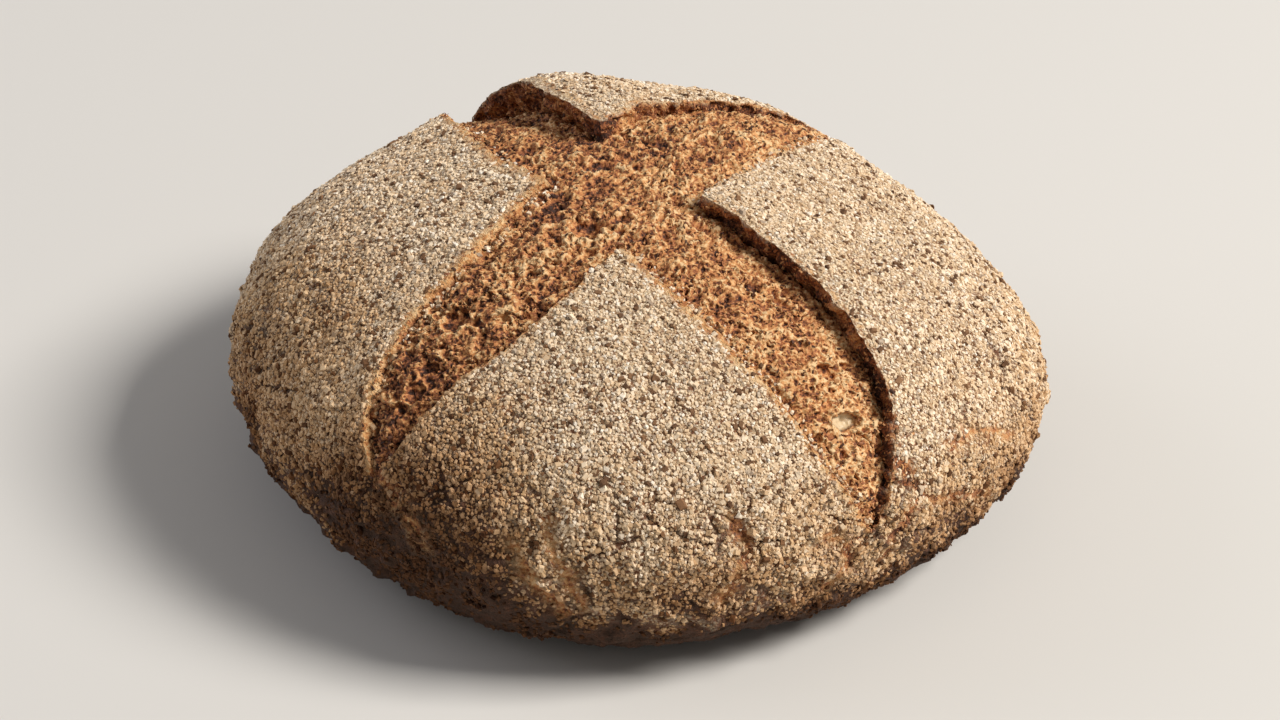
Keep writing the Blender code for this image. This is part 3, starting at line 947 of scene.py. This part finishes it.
# Where the coat of meal thins out: at the rims, low down, most on the left, and in patches
RIM_BARE = 0.35
RIM_FRINGE = 1.4
RIM_STRAY = 0.5
THIN_HEIGHTS = (58 * MM, 22 * MM)
THIN_SIDES = (60 * MM, -70 * MM)
THIN_PATCHES = 15 * MM
THIN_LEFT = 0.2
THIN_BARE = 0.55
BARE_LEFT = 0.9
BARE_PATCHES = 2.2
BARE_LESS = 0.2
BARE_FULL = 0.9
CRACK_BARE = 1.6
CRACK_BAREST = 0.95
SCAR_BARE = 0.85
FOOT_HEIGHTS = (8 * MM, 32 * MM)
FOOT_SWAY = 9 * MM

FLAKES = (
    Chip("flake_gold", 0.36, 0.95 * MM, (222, 172, 118), (186, 130, 84)),
    Chip("flake_brown", 0.38, 1.0 * MM, (180, 122, 80), (130, 80, 54)),
    Chip("flake_dark", 0.26, 1.0 * MM, (106, 66, 46), (52, 32, 25)),
)
FLAKE_FORM = (0.5, 0.2)
FLAKE_TILT = 0.35
FLAKE_CHANCE = 0.06
WALL_FLAKE_CHANCE = 0.35
RIM_FLAKE_CHANCE = 0.2

# The most chips that one piece holds, and how uneven they are in size, shape and place
CHIPS_A_PIECE = 16400
CHIP_SPREAD = 0.28
CHIP_RAGGEDNESS = 0.34
CHIP_JITTER = 0.42 * MM
CHIP_TOP = 0.68
CHIP_RISE = 0.1


def meal_bed(skin, cross):
    """The crust, with the chance that a grain of meal lies at each of its points."""
    distance, index = nearest(skin.flat, cross.outline)
    rim_width = cross.rim[index]
    open_crumb = inside(skin.flat, cross.outline) | (distance < RIM_BARE * rim_width)
    strayed = distance + RIM_STRAY * rim_width * noise_at(skin.points, RIM_RAGGED_SIZE, 2, 17.0)
    height = skin.points[:, 2]
    patches = noise_at(skin.points, THIN_PATCHES, 4, 91.0)
    low = smooth_step(height, *THIN_HEIGHTS)
    left = smooth_step(skin.points[:, 0], *THIN_SIDES)
    bare = low * smooth_step(BARE_LEFT * left - BARE_LESS - BARE_PATCHES * patches, 0.0, BARE_FULL)
    chance = GRAIN_CHANCE * (1 - THIN_LEFT * low * left - THIN_BARE * bare)
    chance *= smooth_step(height + FOOT_SWAY * patches, *FOOT_HEIGHTS)
    chance *= smooth_step(strayed, 0, RIM_FRINGE * rim_width)
    chance *= 1 - np.clip(CRACK_BARE * skin.cracks, 0, CRACK_BAREST)
    chance *= 1 - SCAR_BARE * skin.scars
    return Bed(skin.points, skin.normals, np.where(open_crumb | (skin.latitude > UNDERSIDE_END), 0.0, chance))


def chip_shape(form):
    """A chip of unit length: a cube made flat, with a smaller upper face."""
    bpy.ops.mesh.primitive_cube_add(size=1.0)
    chip = bpy.context.object
    with editing(chip):
        bpy.ops.transform.resize(value=(1.0, *form))
    points = points_of(chip.data)
    faces = np.array([face.vertices for face in chip.data.polygons])
    points[points[:, 2] > 0, :2] *= CHIP_TOP
    bpy.data.objects.remove(chip, do_unlink=True)
    return points, faces


def lay_chips(chip, form, tilt, bed, chosen, draw):
    """Lays the chosen chips of one kind, each with a shape of its own, as one piece."""
    shape, faces = chip_shape(form)
    count, corners = len(chosen), len(shape)
    normal = bed.normals[chosen] + tilt * draw.normal(size=(count, 3))
    normal /= np.linalg.norm(normal, axis=1, keepdims=True)
    along = np.cross(normal, draw.normal(size=(count, 3)))
    along /= np.linalg.norm(along, axis=1, keepdims=True)
    aside = np.cross(normal, along)
    length = chip.length * np.exp(CHIP_SPREAD * draw.normal(size=count))
    ragged = 1 + CHIP_RAGGEDNESS * draw.uniform(-1, 1, (count, corners, 3))
    jitter = along * draw.uniform(-1, 1, (count, 1)) + aside * draw.uniform(-1, 1, (count, 1))
    middle = bed.points[chosen] + CHIP_JITTER * jitter + bed.normals[chosen] * (CHIP_RISE * length)[:, None]
    frames = np.stack([along, aside, normal], axis=1)
    points = middle[:, None] + np.einsum("nij,njk->nik", shape * ragged * length[:, None, None], frames)
    all_faces = (faces + corners * np.arange(count)[:, None, None]).reshape(-1, 4)
    mesh = bpy.data.meshes.new(chip.name)
    mesh.from_pydata(points.reshape(-1, 3).tolist(), [], all_faces.tolist())
    mesh.update()
    paint(mesh, "tone", np.repeat(draw.rand(count), corners))
    piece = bpy.data.objects.new(chip.name, mesh)
    bpy.context.scene.collection.objects.link(piece)
    return piece


def scatter(chips, form, tilt, bed, seed, make_material):
    """Scatters chips of all the given kinds over the bed, one piece for each kind."""
    draw = np.random.RandomState(seed)
    kept = np.flatnonzero(draw.rand(len(bed.points)) < bed.chance)
    kind = draw.choice(len(chips), len(kept), p=[chip.share for chip in chips])
    for number, chip in enumerate(chips):
        chosen = draw.permutation(kept[kind == number])[:CHIPS_A_PIECE]
        dress(lay_chips(chip, form, tilt, bed, chosen, draw), make_material(chip))


def colour(red, green, blue):
    """A colour as seen on a screen, in parts of 255, as the linear colour that a shader takes."""
    parts = np.array([red, green, blue]) / 255
    linear = np.where(parts > 0.04045, ((parts + 0.055) / 1.055) ** 2.4, parts / 12.92)
    return (*linear.tolist(), 1.0)


def add_node(tree, kind, settings=None, **inputs):
    """Adds a node. Each input is a value, or the output of another node."""
    made = tree.nodes.new(kind)
    for name, value in (settings or {}).items():
        setattr(made, name, value)
    for name, value in inputs.items():
        feed(tree, made.inputs[name.replace("_", " ")], value)
    return made


def feed(tree, socket, value):
    if isinstance(value, bpy.types.NodeSocket):
        tree.links.new(value, socket)
    else:
        socket.default_value = value


def maths(tree, operation, first, second=0.0, clamp=False):
    made = add_node(tree, "ShaderNodeMath", {"operation": operation, "use_clamp": clamp})
    feed(tree, made.inputs[0], first)
    feed(tree, made.inputs[1], second)
    return made.outputs[0]


def times(tree, first, second, clamp=False):
    return maths(tree, "MULTIPLY", first, second, clamp)


def plus(tree, base, value, share=None, clamp=False):
    """The base with the value added, or only a share of the value."""
    return maths(tree, "ADD", base, value if share is None else times(tree, value, share), clamp)


def from_middle(tree, value):
    """A value of 0 to 1 as one of -0.5 to 0.5."""
    return maths(tree, "SUBTRACT", value, 0.5)


def along_axis(tree, where, axis):
    return add_node(tree, "ShaderNodeSeparateXYZ", Vector=where).outputs[axis]


def mix(tree, share, first, second, way="MIX"):
    """Colour between the first and the second."""
    made = add_node(tree, "ShaderNodeMix", {"data_type": "RGBA", "blend_type": way, "clamp_factor": True})
    feed(tree, made.inputs[0], share)
    feed(tree, made.inputs[6], first)
    feed(tree, made.inputs[7], second)
    return made.outputs[2]


def ramp(tree, share, *stops):
    """Colour read off a ramp of stops, each a place and a colour in parts of 255."""
    made = add_node(tree, "ShaderNodeValToRGB")
    feed(tree, made.inputs[0], share)
    band = made.color_ramp.elements
    while len(band) < len(stops):
        band.new(0.5)
    for element, (place_on_ramp, tint) in zip(band, stops):
        element.position = place_on_ramp
        element.color = colour(*tint)
    return made.outputs[0]


def between(tree, value, low, high):
    """Runs softly from 0 at low to 1 at high."""
    made = add_node(tree, "ShaderNodeMapRange", {"interpolation_type": "SMOOTHSTEP"})
    for place_in, number in zip((0, 1, 2), (value, low, high)):
        feed(tree, made.inputs[place_in], number)
    return made.outputs[0]


def speckle(tree, where, size, detail=2.0, twist=0.0):
    """Noise of about 0 to 1, with spots of the given size."""
    made = add_node(
        tree, "ShaderNodeTexNoise", Vector=where, Scale=1 / size, Detail=detail, Distortion=twist
    )
    return made.outputs["Fac"]


def near_spot(tree, where, spot, reach):
    """1 round a spot, and 0 beyond its reach."""
    away = add_node(tree, "ShaderNodeVectorMath", {"operation": "DISTANCE"})
    feed(tree, away.inputs[0], where)
    feed(tree, away.inputs[1], spot)
    return between(tree, away.outputs["Value"], reach, 0.2 * reach)


def new_group(name, inputs, outputs):
    """An empty shader node group, with its input and its output node."""
    tree = bpy.data.node_groups.new(name, "ShaderNodeTree")
    for label, kind, value in inputs:
        socket = tree.interface.new_socket(label, in_out="INPUT", socket_type=kind)
        if value is not None:
            socket.default_value = value
    for label, kind in outputs:
        tree.interface.new_socket(label, in_out="OUTPUT", socket_type=kind)
    return tree, tree.nodes.new("NodeGroupInput"), tree.nodes.new("NodeGroupOutput")


# Baked dough, from pale amber to near black
TOAST_TINTS = (
    (0.0, (230, 194, 146)),
    (0.22, (212, 160, 104)),
    (0.45, (188, 124, 74)),
    (0.66, (140, 82, 50)),
    (0.84, (92, 55, 38)),
    (1.0, (54, 32, 23)),
)
MOTTLE_FINE = 1.1 * MM
MOTTLE_BROAD = 7.0 * MM

# Flour and fine meal on the crust, and the dusty brown under them, kept dark partly as painted shade in the
# gaps between the grains of meal
FLOUR_TINTS = ((0.30, (132, 102, 74)), (0.46, (208, 182, 146)), (0.62, (238, 220, 192)))
FLOUR_HEIGHTS = (72 * MM, 98 * MM)
GROUND_AND_GAP_SHADE_TINT = (84, 66, 52)

# What browning makes of the colour of the meal
BROWNED_MEAL = (
    (0.0, (255, 255, 255)),
    (0.3, (238, 224, 206)),
    (0.6, (212, 189, 166)),
    (0.82, (168, 140, 116)),
    (1.0, (110, 85, 70)),
)

# How far the crust and the crumb are toasted, from 0 to 1, before their patches. The crust's level is dark
# partly as painted shade in the gaps between the grains of meal.
CRUST_TOAST_AND_GAP_SHADE = 0.64
RIM_TOAST = 0.28
# Dark partly as painted shade on the walls under the crust's edges
WALL_TOAST_AND_SHADE = 0.64
CRUMB_TOAST = 0.6
HOLE_SKIN_TINT = (214, 194, 158)

# Heights from which the crust browns downwards, to where it is browned most
BROWN_SIDES = (70 * MM, 8 * MM)
BROWN_FOOT = (26 * MM, 8 * MM)
BROWN_PATCHES = 17 * MM

# Places where the crust and the meal on it are made darker: middle, reach and how much darker
DARKER_SPOTS = (
    (Vector((-62 * MM, -92 * MM, 38 * MM)), 62 * MM, 0.76),
    (Vector((105 * MM, -62 * MM, 30 * MM)), 46 * MM, 0.08),
    (Vector((-106 * MM, -30 * MM, 60 * MM)), 62 * MM, 0.38),
)

# Ends of the two front arms: middle, reach and how much more or less they are toasted
ARM_ENDS = (
    (Vector((66 * MM, -96 * MM, 56 * MM)), 42 * MM, -0.16),
    (Vector((-76 * MM, -84 * MM, 62 * MM)), 36 * MM, 0.2),
)

# Patches, streaks and specks of torn dough: size, twist and strength
TEARS = ((22 * MM, 0.5, 0.9), (9 * MM, 1.5, 1.15), (2.8 * MM, 2.0, 0.8), (0.8 * MM, 0.6, 1.2))

# The crumb's fine cells
CELL_SIZE = 1.8 * MM
CELL_SWAY = 1.2 * MM


def toasting_group():
    """Colour of baked dough, from pale amber at 0 to near black at 1, with a mottle of its own."""
    tree, given, out = new_group(
        "toasting",
        [
            ("Where", "NodeSocketVector", None),
            ("Toast", "NodeSocketFloat", 0.5),
            ("Mottle", "NodeSocketFloat", 0.2),
        ],
        [("Color", "NodeSocketColor")],
    )
    where = given.outputs["Where"]
    fine = speckle(tree, where, MOTTLE_FINE, 3.0, 0.6)
    broad = speckle(tree, where, MOTTLE_BROAD, 3.0, 0.8)
    both = plus(tree, times(tree, fine, 0.55), broad, 0.45)
    sway = times(tree, from_middle(tree, both), given.outputs["Mottle"])
    toast = plus(tree, given.outputs["Toast"], sway, 4.0, clamp=True)
    tree.links.new(ramp(tree, toast, *TOAST_TINTS), out.inputs["Color"])
    return tree


def crackle_group():
    """Fine height for dry, crusted dough, for a Bump."""
    tree, given, out = new_group(
        "crackle",
        [("Where", "NodeSocketVector", None)],
        [("Height", "NodeSocketFloat")],
    )
    where = given.outputs["Where"]
    coarse = speckle(tree, where, 1.6 * MM, 2.0, 0.4)
    fine = speckle(tree, where, 0.55 * MM, 2.0, 0.2)
    tree.links.new(plus(tree, coarse, fine, 0.6), out.inputs["Height"])
    return tree


def cells_group():
    """The crumb's fine cells, for colour and for a Bump: 0 in a cell's hollow, 1 on its thin walls."""
    tree, given, out = new_group(
        "cells",
        [("Where", "NodeSocketVector", None)],
        [("Height", "NodeSocketFloat")],
    )
    where = given.outputs["Where"]
    sway = add_node(tree, "ShaderNodeVectorMath", {"operation": "SCALE"}, Scale=CELL_SWAY)
    clouds = add_node(tree, "ShaderNodeTexNoise", Vector=where, Scale=1 / CELL_SIZE)
    feed(tree, sway.inputs[0], clouds.outputs["Color"])
    bent = add_node(tree, "ShaderNodeVectorMath", {"operation": "ADD"})
    feed(tree, bent.inputs[0], where)
    feed(tree, bent.inputs[1], sway.outputs[0])
    cells = add_node(tree, "ShaderNodeTexVoronoi", Vector=bent.outputs[0], Scale=1 / CELL_SIZE)
    tree.links.new(between(tree, cells.outputs["Distance"], 0.1, 0.65), out.inputs["Height"])
    return tree


def browning_group():
    """How far the crust is browned at each place: most at the foot, and in patches."""
    tree, given, out = new_group(
        "browning",
        [("Where", "NodeSocketVector", None)],
        [("Share", "NodeSocketFloat")],
    )
    where = given.outputs["Where"]
    height = along_axis(tree, where, "Z")
    low = between(tree, height, *BROWN_SIDES)
    patches = from_middle(tree, speckle(tree, where, BROWN_PATCHES, 4.0, 1.0))
    sway = times(tree, patches, plus(tree, 0.5, low, 1.6))
    share = plus(tree, times(tree, low, 0.72), sway)
    for spot, reach, strength in DARKER_SPOTS:
        share = plus(tree, share, near_spot(tree, where, spot, reach), strength)
    share = plus(tree, share, between(tree, height, *BROWN_FOOT), 0.95, clamp=True)
    tree.links.new(share, out.inputs["Share"])
    return tree


def tearing_group():
    """How much more or less torn dough is toasted at each place: patches, streaks and specks."""
    tree, given, out = new_group(
        "tearing",
        [("Where", "NodeSocketVector", None)],
        [("Sway", "NodeSocketFloat")],
    )
    total = 0.0
    for size, twist, strength in TEARS:
        sway = from_middle(tree, speckle(tree, given.outputs["Where"], size, 4.0, twist))
        total = plus(tree, total, sway, strength)
    tree.links.new(total, out.inputs["Sway"])
    return tree


TOASTING = toasting_group()
TEARING = tearing_group()
CRACKLE = crackle_group()
BROWNING = browning_group()
CELLS = cells_group()


def use_group(tree, group, **inputs):
    made = add_node(tree, "ShaderNodeGroup", {"node_tree": group})
    for name, value in inputs.items():
        feed(tree, made.inputs[name], value)
    return made.outputs[0]


def new_material(name):
    """A material with its shader, its node tree and its Object coordinates."""
    material = bpy.data.materials.new(name)
    material.use_nodes = True
    tree = material.node_tree
    where = tree.nodes.new("ShaderNodeTexCoord").outputs["Object"]
    return material, tree, tree.nodes["Principled BSDF"], where


def attribute(tree, name):
    return add_node(tree, "ShaderNodeAttribute", {"attribute_name": name}).outputs["Fac"]


def matte(shader, roughness, specular):
    shader.inputs["Roughness"].default_value = roughness
    shader.inputs["Specular IOR Level"].default_value = specular


def bump(tree, shader, height, strength, distance):
    made = add_node(tree, "ShaderNodeBump", Strength=strength, Distance=distance, Height=height)
    tree.links.new(made.outputs["Normal"], shader.inputs["Normal"])


def floured(tree, where, browned, crack):
    """Browned crust under flour and fine meal, which lie thickest on top and not in the cracks. Its brown is
    darkened partly as painted shade in the gaps between the grains of meal.
    """
    toast = plus(tree, plus(tree, CRUST_TOAST_AND_GAP_SHADE, browned, 0.3), crack, 0.1, clamp=True)
    baked = use_group(tree, TOASTING, Where=where, Toast=toast, Mottle=0.26)
    # Darkened towards a dusty brown: partly the crust's own colour, partly painted shade in the gaps between
    # the grains
    baked = mix(tree, 0.45, baked, colour(*GROUND_AND_GAP_SHADE_TINT))
    grains = between(tree, speckle(tree, where, 0.95 * MM, 2.0, 0.3), 0.38, 0.58)
    dust = between(tree, speckle(tree, where, 5.0 * MM, 3.0, 0.5), 0.12, 0.54)
    cover = times(tree, between(tree, browned, 0.75, 0.1), times(tree, dust, grains))
    on_top = between(tree, along_axis(tree, where, "Z"), *FLOUR_HEIGHTS)
    cover = times(tree, plus(tree, cover, on_top, 0.35), maths(tree, "SUBTRACT", 1.0, crack), clamp=True)
    return mix(tree, cover, baked, ramp(tree, speckle(tree, where, 0.8 * MM, 1.0), *FLOUR_TINTS))


def bare_rim(tree, where, scar):
    """Golden crust, streaked and finely pitted, and darker in the scars."""
    pits = from_middle(tree, use_group(tree, CELLS, Where=where))
    toast = plus(tree, plus(tree, RIM_TOAST, pits, -0.3), use_group(tree, TEARING, Where=where), 0.7)
    toast = plus(tree, toast, scar, 0.24)
    return use_group(tree, TOASTING, Where=where, Toast=toast, Mottle=0.3)


def torn_wall(tree, where):
    """Torn dough under the crust's edges, its brown partly painted shade, and a little darker on the right as
    painted shade on the right ear's wall.
    """
    on_right = between(tree, along_axis(tree, where, "X"), -20 * MM, 40 * MM)
    # Darker on the right: painted shade on the right ear's wall, which faces away from the window
    toast = plus(tree, WALL_TOAST_AND_SHADE, on_right, 0.06)
    toast = plus(tree, toast, use_group(tree, TEARING, Where=where), clamp=True)
    return use_group(tree, TOASTING, Where=where, Toast=toast, Mottle=0.2)


def crust_material():
    """Baked crust with a film of flour and fine meal, bare at its rims and dark round its foot."""
    material, tree, shader, where = new_material("floured_crust")
    wall, rim, crack, scar = (attribute(tree, name) for name in ("wall", "rim", "crack", "scar"))
    coated = floured(tree, where, use_group(tree, BROWNING, Where=where), crack)
    bare = maths(tree, "MAXIMUM", rim, times(tree, scar, 0.85))
    coated = mix(tree, bare, coated, bare_rim(tree, where, scar))
    tree.links.new(mix(tree, wall, coated, torn_wall(tree, where)), shader.inputs["Base Color"])
    matte(shader, 0.88, 0.3)
    bump(tree, shader, use_group(tree, CRACKLE, Where=where), 1.0, 1.1 * MM)
    return material


def crumb_material():
    """Torn crumb, paler on its ridges as painted light, darker in its pits, deep down and in its fine cell
    hollows as painted shade, and streaked all over.
    """
    material, tree, shader, where = new_material("torn_crumb")
    ridge_light_pit_shade, depth, pale = (attribute(tree, name) for name in ("ridge_light_pit_shade", "depth", "pale"))
    cells = use_group(tree, CELLS, Where=where)
    on_right = between(tree, along_axis(tree, where, "X"), -90 * MM, 60 * MM)
    toast = plus(tree, CRUMB_TOAST, on_right, -0.14)
    for spot, reach, strength in ARM_ENDS:
        toast = plus(tree, toast, near_spot(tree, where, spot, reach), strength)
    toast = plus(tree, toast, use_group(tree, TEARING, Where=where))
    # Ridges painted lighter and pits painted darker: painted light and shade
    toast = plus(tree, toast, from_middle(tree, ridge_light_pit_shade), -0.55)
    # Deeper crumb painted darker: painted shade under the crust's edges
    toast = plus(tree, toast, depth, 0.2)
    # Fine cell hollows painted darker than their walls: painted shade in the bumped hollows
    toast = plus(tree, toast, from_middle(tree, cells), -0.4, clamp=True)
    baked = use_group(tree, TOASTING, Where=where, Toast=toast, Mottle=0.15)
    baked = mix(tree, times(tree, pale, 0.85), baked, colour(*HOLE_SKIN_TINT))
    tree.links.new(baked, shader.inputs["Base Color"])
    matte(shader, 0.7, 0.3)
    tree.links.new(plus(tree, 0.7, pale, -0.3), shader.inputs["Roughness"])
    fine = plus(tree, cells, use_group(tree, CRACKLE, Where=where), 0.5)
    bump(tree, shader, times(tree, fine, maths(tree, "SUBTRACT", 1.0, pale)), 1.0, 0.7 * MM)
    return material


def chip_colour(tree, where, chip):
    """Each chip has a tone of its own, and a mottle over it."""
    tone = times(tree, plus(tree, attribute(tree, "tone"), speckle(tree, where, 0.9 * MM, 1.0)), 0.5)
    return ramp(tree, tone, (0.1, chip.dark), (0.9, chip.pale))


def meal_material(meal):
    """Dry grain, browned with the crust under it."""
    material, tree, shader, where = new_material(meal.name)
    browned = ramp(tree, use_group(tree, BROWNING, Where=where), *BROWNED_MEAL)
    tint = mix(tree, 1.0, chip_colour(tree, where, meal), browned, "MULTIPLY")
    tree.links.new(tint, shader.inputs["Base Color"])
    matte(shader, 0.9, 0.1)
    bump(tree, shader, use_group(tree, CRACKLE, Where=where), 0.5, 0.25 * MM)
    return material


def flake_material(flake):
    """Crisp flake of torn crumb."""
    material, tree, shader, where = new_material(flake.name)
    tree.links.new(chip_colour(tree, where, flake), shader.inputs["Base Color"])
    matte(shader, 0.7, 0.3)
    bump(tree, shader, use_group(tree, CRACKLE, Where=where), 0.5, 0.25 * MM)
    return material


def floor_material():
    material, _, shader, _ = new_material("pale_floor")
    shader.inputs["Base Color"].default_value = colour(*FLOOR_TINT)
    shader.inputs["Roughness"].default_value = 0.8
    return material


# The photograph's view: from the front, looking down on the loaf
VIEW_ELEVATION = 33.0
VIEW_DISTANCE = 0.969
VIEW_TARGET = Vector((0.0, 0.0, 0.0364))
VIEW_LENS = 85.0
VIEW_SHIFT = 1.16 / 1280

# The studio: a pale floor, a soft room, and a window high on the right
FLOOR_TINT = (214, 211, 206)
FLOOR_WIDTH = 8.0
ROOM_TINT = (1.0, 0.98, 0.95, 1.0)
ROOM_STRENGTH = 0.21
LAMPS = (
    ("window", Vector((2.9, -0.3, 2.72)), 1.4, 204.0, (1.0, 0.97, 0.93)),
    ("room", Vector((-1.65, 0.55, 0.7)), 1.5, 11.0, (0.88, 0.9, 1.0)),
)


def add_camera():
    camera = bpy.data.objects.new("view", bpy.data.cameras.new("view"))
    bpy.context.scene.collection.objects.link(camera)
    bpy.context.scene.camera = camera
    tilt = math.radians(VIEW_ELEVATION)
    ahead = Vector((0.0, math.cos(tilt), -math.sin(tilt)))
    camera.location = VIEW_TARGET - ahead * VIEW_DISTANCE
    camera.rotation_euler = ahead.to_track_quat("-Z", "Y").to_euler()
    camera.data.lens = VIEW_LENS
    camera.data.shift_x = VIEW_SHIFT


def add_lamp(name, place_from, size, power, tint):
    """A soft square lamp that faces the loaf."""
    lamp = bpy.data.objects.new(name, bpy.data.lights.new(name, "AREA"))
    bpy.context.scene.collection.objects.link(lamp)
    lamp.location = place_from
    lamp.rotation_euler = (VIEW_TARGET - lamp.location).to_track_quat("-Z", "Y").to_euler()
    lamp.data.size = size
    lamp.data.energy = power
    lamp.data.color = tint


def add_studio():
    bpy.ops.mesh.primitive_plane_add(size=FLOOR_WIDTH)
    floor = bpy.context.object
    name_piece(floor, "floor")
    floor.data.materials.append(floor_material())
    world = bpy.data.worlds.new("soft_room")
    bpy.context.scene.world = world
    world.use_nodes = True
    background = world.node_tree.nodes["Background"]
    background.inputs["Color"].default_value = ROOM_TINT
    background.inputs["Strength"].default_value = ROOM_STRENGTH
    for lamp in LAMPS:
        add_lamp(*lamp)
    bpy.context.scene.view_settings.view_transform = "Standard"


def main():
    add_camera()
    add_studio()
    cross = make_cross()
    skin, torn = make_crust(cross, crust_material())
    flakes, loose_grains = make_crumb(cross, crumb_material())
    meal = join_beds(meal_bed(skin, cross), loose_grains)
    scatter(MEALS, GRAIN_FORM, GRAIN_TILT, meal, SEED + 1, meal_material)
    scatter(FLAKES, FLAKE_FORM, FLAKE_TILT, join_beds(flakes, torn), SEED + 2, flake_material)


main()
